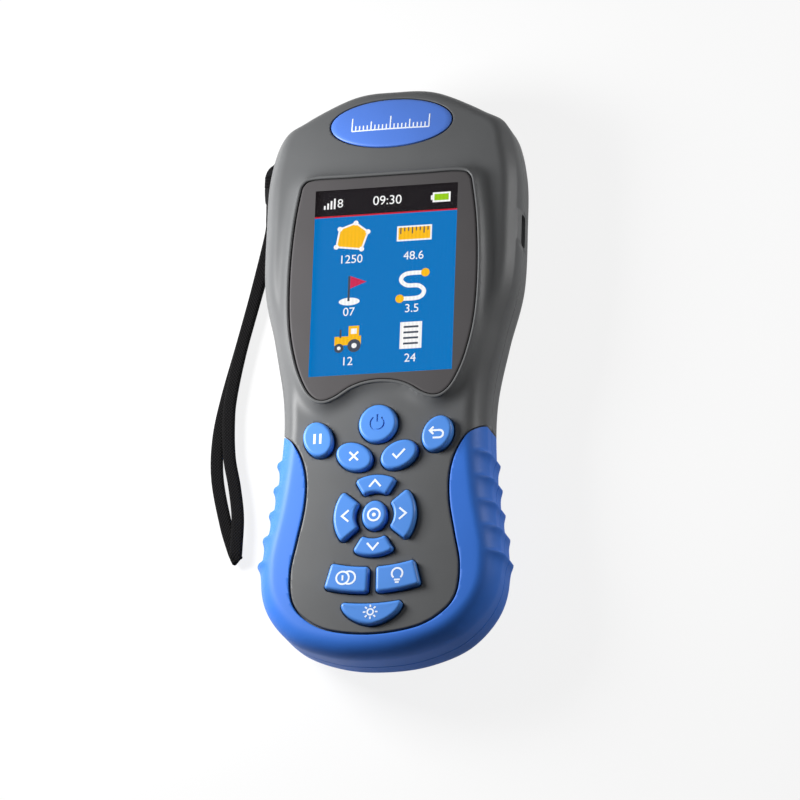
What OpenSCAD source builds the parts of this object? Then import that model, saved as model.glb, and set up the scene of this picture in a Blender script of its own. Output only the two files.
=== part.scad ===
// Handheld land area meter with a colour display, a 13-key pad and a wrist strap.
// It lies on its back: X is its width, Y runs up to the head, Z comes out of its face.
// All sizes are millimetres.

/* [Body] */
// Length from the foot of the grip to the top of the head
body_l = 149; // [146:1:153]
// Greatest width of the head
head_w = 65; // [64:0.5:67]
// Width of the neck under the display
neck_w = 52.2; // [51:0.2:54]
// Greatest width of the grip
grip_w = 61.2; // [59:0.2:63]
// Height of the keypad face above the back
face_h = 21.8; // [21.4:0.1:23]
// Height of the split between the two shells
split_h = 11.5; // [11.2:0.1:12]
// Radius of the front edge
front_r = 5; // [4:0.25:5.5]
// Radius of the rear edge
rear_r = 8; // [6:0.5:8.5]
// Thickness of the shell walls
wall = 2; // [1.6:0.1:2.2]
// Fall of the face from its middle to its sides
crown = 1.5; // [0.8:0.1:1.8]
// Fall of the head towards its top edge
head_fall = 2.5; // [1.5:0.1:3]

/* [Display] */
// Width of the lit picture
picture_w = 36.7; // [34:0.1:38]
// Length of the lit picture
picture_l = 49; // [46:0.1:49.4]
// Distance of the picture's middle below the top of the head
picture_drop = 51.1; // [50.6:0.1:52]
// Width of the display module
module_w = 42.6; // [41:0.1:43]
// Length of the display module
module_l = 56; // [54:0.1:56.5]
// Thickness of the display module
module_t = 1.8; // [1.4:0.1:1.8]
// Greatest width of the clear lens
lens_w = 48.2; // [47:0.1:49]
// Length of the clear lens
lens_l = 58.5; // [57.5:0.1:59.5]
// Thickness of the clear lens
lens_t = 2; // [1.8:0.1:2.2]
// Height of the lens above the keypad face
lens_rise = 1.3; // [1.1:0.1:1.6]
// Gap around the lens
lens_gap = 0.2; // [0.1:0.05:0.3]
// Height of the rim around the lens above the keypad face
rim_h = 1.7; // [1.2:0.1:2.6]
// Width of the rim around the lens
rim_w = 5.6; // [4.8:0.1:6]

/* [Badge] */
// Width of the oval badge
badge_w = 31.4; // [24:0.2:33]
// Length of the oval badge
badge_l = 13.2; // [9:0.2:13.6]
// Distance of the badge below the top of the head
badge_drop = 9.7; // [9.4:0.1:10.4]
// Thickness of the badge
badge_t = 1; // [0.8:0.1:1.1]
// Gap around the badge
badge_gap = 0.25; // [0.15:0.05:0.4]

/* [Keypad] */
// Height of the middle of the arrow ring above the foot
pad_rise = 35.5; // [35:0.1:36]
// Outside radius of the arrow ring
ring_r = 10.5; // [10:0.1:10.8]
// Height of the key tops above the face
key_rise = 1.4; // [0.8:0.1:1.8]
// Gap between a key and the shell
key_gap = 0.25; // [0.2:0.05:0.3]
// Travel of each key
key_travel = 0.7; // [0.4:0.05:0.8]
// Width of the flange that keeps a key in
key_flange = 0.6; // [0.4:0.05:0.65]
// Thickness of that flange
flange_t = 0.8; // [0.6:0.05:0.8]
// Radius of the round power key
power_r = 4.9; // [4.4:0.1:5.1]
// Half width of the enter key
enter_a = 3.2; // [2.8:0.1:3.25]
// Half length of the enter key
enter_b = 3.8; // [3.4:0.1:4]

/* [Grip] */
// Thickness of the soft grip
grip_t = 1.8; // [1.4:0.1:2]
// Width of the groove round the keypad
groove = 0.35; // [0.2:0.05:0.5]
// Radius of the finger ribs
rib_r = 1.5; // [1.2:0.1:1.7]
// Height of the finger ribs above the grip
rib_h = 1.1; // [0.5:0.1:1.2]

/* [Battery] */
// Width of the battery pack
battery_w = 30; // [26:0.5:30]
// Length of the battery pack
battery_l = 46; // [40:0.5:46]
// Thickness of the battery pack
battery_t = 7; // [5.5:0.1:7]
// Thickness of the battery door
door_t = 1.7; // [1.5:0.1:2]
// Gap around the battery door
door_gap = 0.3; // [0.2:0.05:0.4]

/* [Boards] */
// Thickness of the circuit boards
board_t = 1.6; // [1.2:0.1:1.6]
// Width of the power board
power_w = 42; // [38:0.5:43]
// Width of the plug opening of the charging socket
socket_w = 7.5; // [7:0.1:8]
// Height of the charging socket
socket_h = 2.7; // [2.5:0.1:3]
// Distance of the charging socket below the top of the head
socket_drop = 37.5; // [34:0.1:38]
// Side of the square aerial
aerial_w = 18; // [15:0.5:18]
// Thickness of the aerial
aerial_t = 3.8; // [3:0.1:3.8]
// Radius of the lamp lens in the top end
lamp_r = 2.5; // [2:0.1:2.6]

/* [Screws] */
// Radius of the case screws
screw_r = 1.1; // [0.9:0.05:1.2]
// Radius of the case screw heads
head_r = 2.2; // [1.9:0.05:2.4]
// Depth of the sunk screw heads
head_depth = 4.5; // [4:0.1:5]
// Radius of the screw posts
post_r = 3.2; // [3:0.05:3.3]

/* [Strap] */
// Width of the flat strap
strap_w = 3.2; // [3:0.1:4.4]
// Thickness of the flat strap
strap_t = 1.4; // [1:0.1:1.4]
// Distance of the lug's middle below the top of the head
lug_drop = 20.4; // [19:0.1:21]
// Length of the lug
lug_l = 10; // [9:0.1:11]
// Height of the lug
lug_h = 3.4; // [3:0.1:3.6]
// Thickness of the lug's bar
lug_bar = 1.5; // [1.3:0.1:1.6]
// Room between the lug's bar and the case
lug_room = 1.6; // [1.5:0.1:1.8]

/* [Hidden] */

// Fineness of the turned pieces and of the drawn outlines
turned = 32;
spline_n = 2;
tiny = 0.01;
big = 200;

// Colours of the pieces
shell_grey = [0.36, 0.35, 0.33];
soft_blue = [0.25, 0.45, 0.85];
key_blue = [0.28, 0.48, 0.88];
clear = [0.6, 0.65, 0.7, 0.4];
screen_blue = [0.1, 0.3, 0.9];
board_green = [0.1, 0.4, 0.25];
black = [0.08, 0.08, 0.08];
white = [0.92, 0.92, 0.9];
steel = [0.7, 0.7, 0.72];
gold = [0.8, 0.65, 0.3];

// Ends of the body and the three half widths
top_y = body_l / 2;
foot_y = -body_l / 2;
head_x = head_w / 2;
neck_x = neck_w / 2;
grip_x = grip_w / 2;

// Helpers for outlines: a smooth closed curve through points that mirror about X = 0
function mix(a, b, t) = a + (b - a) * t;
function limit(v, low, high) = max(low, min(high, v));
function spline_at(a, b, c, d, t) =
    (2 * b + (c - a) * t + (2 * a - 5 * b + 4 * c - d) * t * t + (3 * b - a - 3 * c + d) * t * t * t) / 2;
function closed_spline(p, n) = [
    for (i = [0 : len(p) - 1], k = [0 : n - 1])
        let (m = len(p))
        spline_at(p[(i + m - 1) % m], p[i], p[(i + 1) % m], p[(i + 2) % m], k / n)
];
function open_spline(p, n) = concat(
    [
        for (i = [0 : len(p) - 2], k = [0 : n - 1])
            spline_at(p[max(i - 1, 0)], p[i], p[i + 1], p[min(i + 2, len(p) - 1)], k / n)
    ],
    [p[len(p) - 1]]
);
function both_sides(half) = concat(
    [for (p = half) [-p[0], p[1]]],
    [for (i = [len(half) - 2 : -1 : 1]) half[i]]
);
function normals(p) = [
    for (i = [0 : len(p) - 1])
        let (m = len(p), along = p[(i + 1) % m] - p[(i + m - 1) % m])
        [along[1], -along[0]] / norm(along)
];
function grown(p, d) = p + d * normals(p);

// Outline of the body, from the top of the head down one side to the foot
body_half = [
    [0, top_y],
    [head_x * 0.325, top_y - 0.9],
    [head_x * 0.702, top_y - 6.7],
    [head_x * 0.893, top_y - 10.9],
    [head_x * 0.985, top_y - 21.5],
    [head_x, top_y - 34.5],
    [mix(head_x, neck_x, 0.06), top_y - 51.5],
    [mix(head_x, neck_x, 0.57), top_y - 66],
    [neck_x + 0.2, foot_y + 68.5],
    [neck_x + 0.2, foot_y + 54.5],
    [mix(neck_x, grip_x, 0.43), foot_y + 39.5],
    [grip_x, foot_y + 25.5],
    [grip_x * 0.947, foot_y + 14.5],
    [grip_x * 0.713, foot_y + 5.7],
    [grip_x * 0.366, foot_y + 1.2],
    [0, foot_y]
];
body_outline = closed_spline(both_sides(body_half), spline_n);
function side_at(y) = [
    for (i = [0 : len(body_outline) / 2 - 1])
        let (a = body_outline[i], b = body_outline[i + 1])
        if (a[1] >= y && b[1] <= y) -mix(a[0], b[0], (a[1] - y) / (a[1] - b[1]))
][0];

// The body's surface closes in towards a spine, so that an inset never crosses itself
spine_high = top_y - 26;
spine_low = foot_y + 22;
function spine_at(p) = [0, limit(p[1], spine_low, spine_high)];
function inset_point(p, d) = let (way = spine_at(p) - p) p + way * min(d / norm(way), 1);
function inset_outline(d) = [for (p = body_outline) inset_point(p, d)];

// Height of the face: level along the middle, falling to the sides and over the head
fall_from = top_y - 22.5;
function face_at(p) = face_h
    - crown * pow(p[0] / head_x, 2)
    - head_fall * pow(max(p[1] - fall_from, 0) / (top_y - fall_from), 2);

// A solid through rings of points that all mirror about X = 0
function wall_faces(n, rings) = [
    for (j = [0 : rings - 2], i = [0 : n - 1], half = [0, 1])
        let (a = j * n + i, b = j * n + (i + 1) % n)
        half == 0 ? [a, a + n, b + n] : [a, b + n, b]
];
function cap_faces(n, first, up) = [
    for (i = [0 : n / 2 - 1])
        let (
            left = first + i,
            right = first + (n - i) % n,
            strip = i == 0 ? [left, left + 1, right + n - 1]
                : i == n / 2 - 1 ? [left, left + 1, right]
                : [left, left + 1, right - 1, right]
        )
        up ? [for (k = [len(strip) - 1 : -1 : 0]) strip[k]] : strip
];
module ring_solid(rings) {
    n = len(rings[0]);
    m = len(rings);
    polyhedron(
        [for (ring = rings, p = ring) p],
        concat(wall_faces(n, m), cap_faces(n, 0, false), cap_faces(n, (m - 1) * n, true))
    );
}

// The body's envelope, or the same shape a skin thickness inside it
edge_steps = 4;
inner_share = 0.55;
function rear_ring(skin, d, rise) = [for (p = inset_outline(skin + d)) [p[0], p[1], skin + rise]];
function face_ring(skin, d, drop) = [
    for (p = inset_outline(skin + d)) [p[0], p[1], face_at(p) - skin - drop]
];
function middle_ring(skin, share) = [
    for (p = body_outline)
        let (q = mix(inset_point(p, skin + front_r), spine_at(p), share))
        [q[0], q[1], face_at(q) - skin]
];
module envelope(skin) {
    low_r = max(rear_r - skin, tiny);
    high_r = max(front_r - skin, tiny);
    ring_solid(concat(
        [
            for (k = [0 : edge_steps])
                let (a = 90 * k / edge_steps)
                rear_ring(skin, low_r * (1 - sin(a)), low_r * (1 - cos(a)))
        ],
        [
            for (k = [0 : edge_steps])
                let (a = 90 * k / edge_steps)
                face_ring(skin, high_r * (1 - cos(a)), high_r * (1 - sin(a)))
        ],
        [middle_ring(skin, inner_share)]
    ));
}
module above_split() {
    translate([-big / 2, -big / 2, split_h])
        cube([big, big, big]);
}
module below_split() {
    translate([-big / 2, -big / 2, split_h - big])
        cube([big, big, big]);
}
module column(outline_gap) {
    linear_extrude(big, center = true)
        offset(delta = outline_gap)
            children();
}

// Soft grip: everything below its top edge, outside the waisted keypad field
grip_top = foot_y + 60.3;
field_half = [
    [grip_x - 3.6, grip_top],
    [grip_x - 6.3, grip_top - 2.2],
    [grip_x - 9, grip_top - 4.8],
    [grip_x - 11.3, grip_top - 9.2],
    [grip_x - 12.5, grip_top - 14.8],
    [grip_x - 12.3, foot_y + 38.5],
    [grip_x - 10.8, foot_y + 30.5],
    [grip_x - 9.3, foot_y + 22.5],
    [grip_x - 10, foot_y + 15],
    [grip_x - 13.6, foot_y + 9.7],
    [grip_x - 20.1, foot_y + 6.1],
    [0, foot_y + 4.7]
];
field_side = open_spline(field_half, spline_n);
field_outline = concat(
    [for (p = field_side) [-p[0], p[1]]],
    [for (i = [len(field_side) - 2 : -1 : 0]) field_side[i]]
);
module grip_zone(gap) {
    difference() {
        translate([-big / 2, foot_y - big])
            square([big, big + grip_top - foot_y]);
        offset(delta = gap)
            polygon(field_outline);
        translate([-field_half[0][0] - gap, grip_top - gap])
            square([2 * (field_half[0][0] + gap), big]);
    }
}
module grip_cut() {
    difference() {
        linear_extrude(big, center = true)
            grip_zone(0);
        envelope(grip_t);
    }
}

// Finger ribs: each runs level round the side of the grip and is pointed at the front
rib_count = 5;
rib_first = foot_y + 51.5;
rib_step = 6.45;
rib_from = 3.4;
rib_in = 0.7;
module rib(y, from_z, to_z, from_in, to_in, from_r, to_r) {
    x = side_at(y) + rib_h;
    hull() {
        translate([x - from_r - from_in, y, from_z])
            sphere(from_r, $fn = 12);
        translate([x - to_r - to_in, y, to_z])
            sphere(to_r, $fn = 12);
    }
}
module front_ribs() {
    for (side = [0, 1], k = [0 : rib_count - 1])
        mirror([side, 0, 0])
            rib(rib_first - k * rib_step, face_h - rib_from, split_h - 1, rib_in + rib_h, 0, 0.6, rib_r);
}
module rear_ribs() {
    for (side = [0, 1], k = [0 : rib_count - 1])
        mirror([side, 0, 0])
            rib(rib_first - k * rib_step, rear_r - rib_from, split_h + 1, rib_in + rib_h, 0, 1, rib_r);
}

// Clear lens: flat top, bowed sides, two rounded chins and an arch between them
picture_y = top_y - picture_drop;
lens_top = picture_y + 27.1;
lens_low = lens_top - lens_l;
lens_x = lens_w / 2;
lobe_x = lens_x * 0.59;
arch_h = 4.8;
lens_half = [
    [0, lens_top],
    [lens_x * 0.4, lens_top],
    [lens_x * 0.77, lens_top],
    [lens_x * 0.885, lens_top - 1.2],
    [lens_x * 0.925, lens_top - 4.5],
    [lens_x * 0.975, lens_top - 13.5],
    [lens_x, lens_top - 25.5],
    [lens_x * 0.98, lens_top - 38],
    [lens_x * 0.9, lens_low + 10.5],
    [lens_x * 0.795, lens_low + 4],
    [lens_x * 0.695, lens_low + 0.9],
    [lobe_x, lens_low],
    [lobe_x - 2.9, lens_low + 0.9],
    [lobe_x * 0.53, lens_low + 3.2],
    [lobe_x * 0.28, lens_low + arch_h - 0.4],
    [0, lens_low + arch_h]
];
lens_outline = closed_spline(both_sides(lens_half), spline_n);
lens_high_z = face_h + lens_rise;
lens_low_z = lens_high_z - lens_t;
tape_t = 0.2;
ledge_z = lens_low_z - tape_t;
ledge_t = 0.8;
window_gap = 0.9;
module_gap = 0.3;
module_z = ledge_z - ledge_t - 0.1;
module_y = picture_y - 1.2;

// Rim round the lens, one closed band; it is lower along the top of the lens
rim_fade_from = lens_top - 14;
function rim_level(y) = mix(1, 0.85, limit((y - rim_fade_from) / 12, 0, 1));
rim_foot = -3.6;
rim_section = [
    [rim_w, rim_foot],
    [rim_w * 0.92, -1.6],
    [rim_w * 0.74, -0.3],
    [rim_w * 0.54, rim_h * 0.2],
    [rim_w * 0.38, rim_h * 0.48],
    [rim_w * 0.25, rim_h * 0.8],
    [rim_w * 0.16, rim_h],
    [lens_gap + 0.15, rim_h * 0.97],
    [lens_gap, rim_h * 0.8],
    [lens_gap, rim_foot]
];
rim_margin = 1.5;
function rim_scale(p) = limit((side_at(p[1]) - abs(p[0]) - rim_margin) / rim_w, 0.4, 1);
module screen_rim() {
    n = len(lens_outline);
    m = len(rim_section);
    out = normals(lens_outline);
    points = [
        for (s = rim_section, i = [0 : n - 1])
            let (
                q = lens_outline[i],
                p = q + out[i] * (s[0] > 1 ? s[0] * rim_scale(q) : s[0])
            )
            [p[0], p[1], face_h + (s[1] > 0 ? s[1] * rim_level(p[1]) : s[1])]
    ];
    faces = [
        for (j = [0 : m - 1], i = [0 : n - 1], half = [0, 1])
            let (
                a = j * n + i,
                b = j * n + (i + 1) % n,
                c = ((j + 1) % m) * n + (i + 1) % n,
                d = ((j + 1) % m) * n + i
            )
            half == 0 ? [a, d, c] : [a, c, b]
    ];
    polyhedron(points, faces);
}

// Oval badge, laid on the falling face of the head
badge_y = top_y - badge_drop;
badge_tilt = atan(2 * head_fall * (badge_y - fall_from) / pow(top_y - fall_from, 2));
badge_proud = 0.15;
module on_badge() {
    translate([0, badge_y, face_at([0, badge_y])])
        rotate([-badge_tilt, 0, 0])
            children();
}
module badge_oval(gap) {
    scale([(badge_w + 2 * gap) / (badge_l + 2 * gap), 1])
        circle((badge_l + 2 * gap) / 2, $fn = 48);
}

// Key outlines, each about its own place on the face
pad_y = foot_y + pad_rise;
key_n = 28;
function oval(a, b, turn) = [
    for (k = [0 : key_n - 1])
        let (t = 360 * k / key_n)
        [a * cos(t) * cos(turn) - b * sin(t) * sin(turn), a * cos(t) * sin(turn) + b * sin(t) * cos(turn)]
];
corner_n = 3;
edge_n = 6;
function box_corner(w, l, r, turn, x, y) = [
    for (k = [0 : corner_n])
        let (t = turn + 90 * k / corner_n)
        [x * (w / 2 - r) + r * cos(t), y * (l / 2 - r) + r * sin(t)]
];
function box_edge(w, l, r, y) = [for (k = [1 : edge_n - 1]) [y * (w / 2 - r) * (1 - 2 * k / edge_n), y * l / 2]];
function soft_box(w, l, r) = concat(
    box_corner(w, l, r, 0, 1, 1),
    box_edge(w, l, r, 1),
    box_corner(w, l, r, 90, -1, 1),
    box_corner(w, l, r, 180, -1, -1),
    box_edge(w, l, r, -1),
    box_corner(w, l, r, 270, 1, -1)
);
function bent(p, r) = [
    for (q = p)
        let (a = q[0] / r * 180 / PI)
        [(r + q[1]) * sin(a), (r + q[1]) * cos(a)]
];
function turned_by(p, a) = [for (q = p) [q[0] * cos(a) - q[1] * sin(a), q[0] * sin(a) + q[1] * cos(a)]];
function moved(p, v) = [for (q = p) q + v];
function fan(low_r, span) =
    bent(soft_box((low_r + ring_r) / 2 * span * PI / 180, ring_r - low_r, 1), (low_r + ring_r) / 2);
tall_low_r = 5.9;
wide_low_r = 4.9;
tall_span = 61;
wide_span = 78;
smile_r = 43.5;
smile_y = pad_y + 27;
smile_w = 10.6;
smile_l = 6.7;
smile_turn = 8.2;
dimmer_w = 15.4;
dimmer_l = 6;
dimmer_y = foot_y + 13.45;
dimmer_sag = 0.45;
dimmer_corner = 0.9;
moon_n = 8;
function moon(w, l, sag, r) = concat(
    moved(box_corner(w, l, r, 0, 1, 0), [0, -r]),
    [for (k = [1 : moon_n - 1]) let (s = 1 - 2 * k / moon_n) [s * (w / 2 - r), sag * (s * s - 1)]],
    moved(box_corner(w, l, r, 90, -1, 0), [0, -r]),
    [for (k = [1 : key_n / 2 - 1]) let (t = 180 + 360 * k / key_n) [w / 2 * cos(t), (l - r) * sin(t) - r]]
);
pad_mid = [0, pad_y];
power_at = [0, pad_y + 23.7];
pause_at = [-15.2, pad_y + 20.4];
delete_at = [-5.7, pad_y + 15.4];
function flipped(p) = [for (i = [len(p) - 1 : -1 : 0]) [-p[i][0], p[i][1]]];
pause_shape = moved(oval(3.7, 4.7, 24), pause_at);
delete_shape = moved(oval(4.9, 3.5, -25), delete_at);
price_shape = moved(turned_by(bent(soft_box(smile_w, smile_l, 0.9), -smile_r), -smile_turn), [0, smile_y]);
dimmer_shape = moved(moon(dimmer_w, dimmer_l, dimmer_sag, dimmer_corner), [0, dimmer_y]);
key_shapes = [
    moved(oval(power_r, power_r, 0), power_at),
    pause_shape,
    flipped(pause_shape),
    delete_shape,
    flipped(delete_shape),
    moved(fan(tall_low_r, tall_span), pad_mid),
    moved(turned_by(fan(wide_low_r, wide_span), 90), pad_mid),
    moved(turned_by(fan(wide_low_r, wide_span), -90), pad_mid),
    moved(turned_by(fan(tall_low_r, tall_span), 180), pad_mid),
    moved(oval(enter_a, enter_b, 0), pad_mid),
    price_shape,
    flipped(price_shape),
    dimmer_shape
];
function centre_of(p) = [for (a = [0, 1]) (max([for (q = p) q[a]]) + min([for (q = p) q[a]])) / 2];
key_middles = [for (s = key_shapes) centre_of(s)];

// Heights inside: keys hang under the face, the main board lies below them
ceiling_z = face_h - wall;
key_top_z = face_h + key_rise;
flange_z = ceiling_z - flange_t;
tray_t = 0.6;
board_top = module_z - module_t - tray_t;
board_low = board_top - board_t;
mat_t = 0.4;
pad_top = flange_z - key_travel - 0.1;
dome_r = 2;
dome_t = 0.3;
key_round = 0.5;
key_room_in = 1.2;

module key(shape) {
    n = len(shape);
    rings = [
        [key_flange, flange_z],
        [key_flange, ceiling_z],
        [0, ceiling_z],
        [0, key_top_z - key_round],
        [-key_round * 0.3, key_top_z - key_round * 0.3],
        [-key_round, key_top_z]
    ];
    m = len(rings);
    walls = [
        for (j = [0 : m - 2], i = [0 : n - 1], half = [0, 1])
            let (a = j * n + i, b = j * n + (i + 1) % n)
            half == 0 ? [a, a + n, b + n] : [a, b + n, b]
    ];
    fans = [
        for (i = [0 : n - 1], end = [0, 1])
            let (first = end * (m - 1) * n, hub = m * n + end)
            end == 0 ? [hub, first + i, first + (i + 1) % n] : [hub, first + (i + 1) % n, first + i]
    ];
    hub_at = centre_of(shape);
    color(key_blue)
        polyhedron(
            concat(
                [for (r = rings, p = grown(shape, r[0])) [p[0], p[1], r[1]]],
                [[hub_at[0], hub_at[1], flange_z], [hub_at[0], hub_at[1], key_top_z]]
            ),
            concat(walls, fans)
        );
}

// Screw posts and the other fixings
case_posts = [
    [head_x - 7.2, top_y - 21],
    [neck_x - 5.2, foot_y + 64],
    [grip_x - 13.6, foot_y + 12.4]
];
board_posts = [
    [head_x - 6.2, top_y - 44.5],
    [grip_x - 13.2, foot_y + 41.5]
];
power_posts = [
    [power_w / 2 - 2.5, top_y - 66],
    [power_w / 2 - 2.5, top_y - 34]
];
small_r = 0.9;
small_head_r = 1.7;
small_head_t = 1.1;
small_post_r = 2.1;
gusset_t = 1.2;
module both(places) {
    for (p = places, side = [-1, 1])
        translate([side * p[0], p[1], 0])
            children();
}

// Battery bay in the lower back
door_low = 0.3;
door_high = door_low + door_t;
bay_gap = 0.4;
bay_wall = 1.4;
bay_roof = 1.3;
bay_w = battery_w + 2 * bay_gap;
bay_l = battery_l + 4;
bay_y = foot_y + 42;
bay_top = door_high + battery_t + bay_gap;
door_w = bay_w + 2;
door_l = bay_l + 2.4;
catch_w = 8;
catch_t = 1.1;
catch_h = 2.6;
door_corner = 2;

// Power board, charging socket, receiver and lamp in the head
power_top = split_h - socket_h / 2;
power_low = power_top - board_t;
power_high_y = top_y - 12;
power_low_y = top_y - 72;
socket_y = top_y - socket_drop;
socket_deep = 5.6;
socket_skin = 0.3;
socket_x = head_x - 0.9;
slot_gap = 0.4;
tongue_in = 1.6;
tongue_t = 0.6;
arm_l = 12;
arm_short = 2;
can_w = 20;
can_l = 18;
can_t = 1.8;
can_y = top_y - 23.5;
lamp_gap = 0.1;
lamp_long = 4;
led_r = 1.6;
led_long = 6;
link_w = 20;
link_l = 5;
link_y = top_y - 68;

// Wrist strap lug on the left side, held between the shells
lug_y = top_y - lug_drop;
lug_case_x = -head_x * 0.967;
lug_bar_x = lug_case_x - lug_room - lug_bar;
lug_arm = 1.8;
lug_seat = 2.6;
lug_clear = 0.1;
tab_t = 0.6;
tab_out = 1;
tab_w = strap_w;
tab_y = lug_y;
tab_low = split_h - lug_h / 2 - tab_t;

// Route of the strap: down from the lug, along the table, over and back on itself
strap_inner_x = lug_bar_x + lug_bar - 0.2;
strap_outer_x = strap_inner_x - strap_t - 0.1;
strap_route = [
    [strap_inner_x, tab_y, tab_low],
    [strap_inner_x, tab_y, tab_low - 1.4],
    [-33.4, 53.2, 5.4],
    [-34, 51.2, 2.9],
    [-34.9, 48, 1.3],
    [-35.9, 44, 0.8],
    [-39.1, 31, 0.8],
    [-42.8, 15.5, 0.8],
    [-46.3, 1, 0.8],
    [-48, -9.5, 0.8],
    [-47.8, -20, 0.8],
    [-45.1, -32, 0.8],
    [-42.8, -39, 0.8],
    [-41.9, -41, 1],
    [-41.7, -41.7, 1.7],
    [-41.6, -41, 2.4],
    [-41.5, -39, 2.5],
    [-41.5, -31, 2.4],
    [-42.7, -23, 2.3],
    [-44.4, -15, 2.3],
    [-45, -6, 2.3],
    [-44.7, 1, 2.3],
    [-42.7, 13, 2.3],
    [-39.3, 28, 2.3],
    [-36.1, 43.5, 2.4],
    [-35.7, 48, 2.9],
    [-35.4, 51.2, 4.4],
    [-35, 53.2, 6.3],
    [strap_outer_x, tab_y, tab_low - 1.4],
    [strap_outer_x, tab_y, tab_low]
];
strap_steps = 2;
strap_sides = 8;
strap_line = open_spline(strap_route, strap_steps);
strap_last = len(strap_line) - 1;
function unit(v) = v / norm(v);
function strap_way(i) = unit(strap_line[min(i + 1, strap_last)] - strap_line[max(i - 1, 0)]);
function strap_flat(i) =
    let (down = limit((strap_line[i][2] - 1) / (tab_low - 1), 0, 1), side = i > strap_last / 2 ? -1 : 1)
    unit(cross(mix([0, 0, side], [-side, 0, 0], down * down), strap_way(i)));

// Shells
module shell_room() {
    envelope(grip_t + wall);
    intersection() {
        envelope(wall);
        translate([-big / 2, grip_top + wall, -big / 2])
            cube([big, big, big]);
    }
}
module key_room() {
    translate([0, 0, split_h])
        linear_extrude(ceiling_z - split_h)
            intersection() {
                union() {
                    offset(delta = -key_room_in)
                        polygon(field_outline);
                    translate([-neck_x, grip_top - 2 * wall])
                        square([2 * neck_x, 5 * wall]);
                }
                offset(delta = -grip_t - wall - 0.4)
                    polygon(body_outline);
            }
}
module socket_slot() {
    translate([socket_x + big / 4, socket_y, split_h])
        cube([big / 2 + socket_deep, socket_w + 2 * slot_gap, socket_h + 2 * slot_gap], center = true);
}
module lamp_hole(r) {
    translate([0, top_y - lamp_long - 1, split_h])
        rotate([-90, 0, 0])
            cylinder(big, r = r, $fn = turned);
}
module lug_notch(gap) {
    translate([lug_case_x - lug_seat, lug_y, split_h])
        cube([4 * lug_seat, lug_l - 2 + 2 * gap, lug_h + 2 * gap], center = true);
}
module gussets(reach, low_z, high_z) {
    for (way = [-1, 1])
        hull() {
            translate([0, 0, low_z])
                cylinder(high_z - low_z, d = gusset_t, $fn = 8);
            translate([0, way * reach, high_z - tiny])
                cylinder(tiny, d = gusset_t, $fn = 8);
        }
}

module front_shell() {
    color(shell_grey)
        difference() {
            union() {
                difference() {
                    intersection() {
                        union() {
                            difference() {
                                envelope(0);
                                translate([0, 0, ledge_z])
                                    linear_extrude(big)
                                        polygon(grown(lens_outline, 2 * lens_gap));
                            }
                            screen_rim();
                        }
                        above_split();
                    }
                    grip_cut();
                    shell_room();
                    key_room();
                    socket_slot();
                    lamp_hole(lamp_r + lamp_gap);
                    lug_notch(lug_clear);
                }
                intersection() {
                    both(case_posts) {
                        translate([0, 0, split_h])
                            cylinder(face_h - split_h, r = post_r, $fn = turned);
                        gussets(post_r + 2.4, board_top, face_h);
                    }
                    envelope(grip_t);
                    above_split();
                }
                intersection() {
                    both(board_posts)
                        translate([0, 0, board_top])
                            cylinder(face_h - board_top, r = small_post_r, $fn = turned);
                    envelope(grip_t);
                }
            }
            both(case_posts)
                translate([0, 0, split_h - tiny])
                    cylinder(face_h - wall - split_h - 1, r = screw_r, $fn = 16);
            both(board_posts)
                translate([0, 0, board_top - tiny])
                    cylinder(ceiling_z - board_top, r = small_r, $fn = 16);
            translate([0, picture_y, 0])
                cube([picture_w + 2 * window_gap, picture_l + 2 * window_gap, big], center = true);
            translate([-module_w / 2 - module_gap, module_y - module_l / 2 - module_gap, 0])
                cube([module_w + 2 * module_gap, module_l + 2 * module_gap, ledge_z - ledge_t]);
            on_badge()
                translate([0, 0, badge_proud - badge_t])
                    linear_extrude(big)
                        badge_oval(badge_gap);
            for (s = key_shapes)
                linear_extrude(big)
                    polygon(grown(s, key_gap));
        }
}
module rear_shell() {
    color(shell_grey)
        difference() {
            union() {
                difference() {
                    intersection() {
                        envelope(0);
                        below_split();
                    }
                    grip_cut();
                    shell_room();
                    socket_slot();
                    lamp_hole(lamp_r + lamp_gap);
                    lug_notch(lug_clear);
                }
                intersection() {
                    union() {
                        both(case_posts) {
                            translate([0, 0, wall - tiny])
                                cylinder(split_h - wall + tiny, r = post_r, $fn = turned);
                            translate([0, 0, split_h])
                                mirror([0, 0, 1])
                                    gussets(post_r + 2, 2, split_h - wall);
                        }
                        both(power_posts)
                            translate([0, 0, wall - tiny])
                                cylinder(power_low - wall + tiny, r = small_post_r, $fn = turned);
                        translate([0, bay_y, (bay_top + bay_roof) / 2])
                            cube(
                                [bay_w + 2 * bay_wall, bay_l + 2 * bay_wall, bay_top + bay_roof],
                                center = true
                            );
                    }
                    envelope(grip_t);
                }
            }
            both(case_posts) {
                translate([0, 0, -tiny])
                    cylinder(head_depth + tiny, r = head_r + 0.3, $fn = 24);
                cylinder(big, r = screw_r + 0.2, $fn = 16);
            }
            both(power_posts)
                translate([0, 0, wall + 1])
                    cylinder(big, r = small_r, $fn = 16);
            translate([0, bay_y, 0])
                cube([bay_w, bay_l, 2 * bay_top], center = true);
            linear_extrude(2 * door_high, center = true)
                translate([0, bay_y])
                    offset(r = door_corner, $fn = 16)
                        square(
                            [door_w, door_l] + 2 * (door_gap - door_corner) * [1, 1],
                            center = true
                        );
            contact_slots();
        }
}
module grip_front() {
    color(soft_blue)
        difference() {
            intersection() {
                union() {
                    envelope(0);
                    front_ribs();
                }
                above_split();
                linear_extrude(big)
                    grip_zone(groove);
            }
            envelope(grip_t);
        }
}
module grip_rear() {
    color(soft_blue)
        difference() {
            intersection() {
                union() {
                    envelope(0);
                    rear_ribs();
                }
                below_split();
                linear_extrude(big, center = true)
                    grip_zone(groove);
            }
            envelope(grip_t);
        }
}

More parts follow.
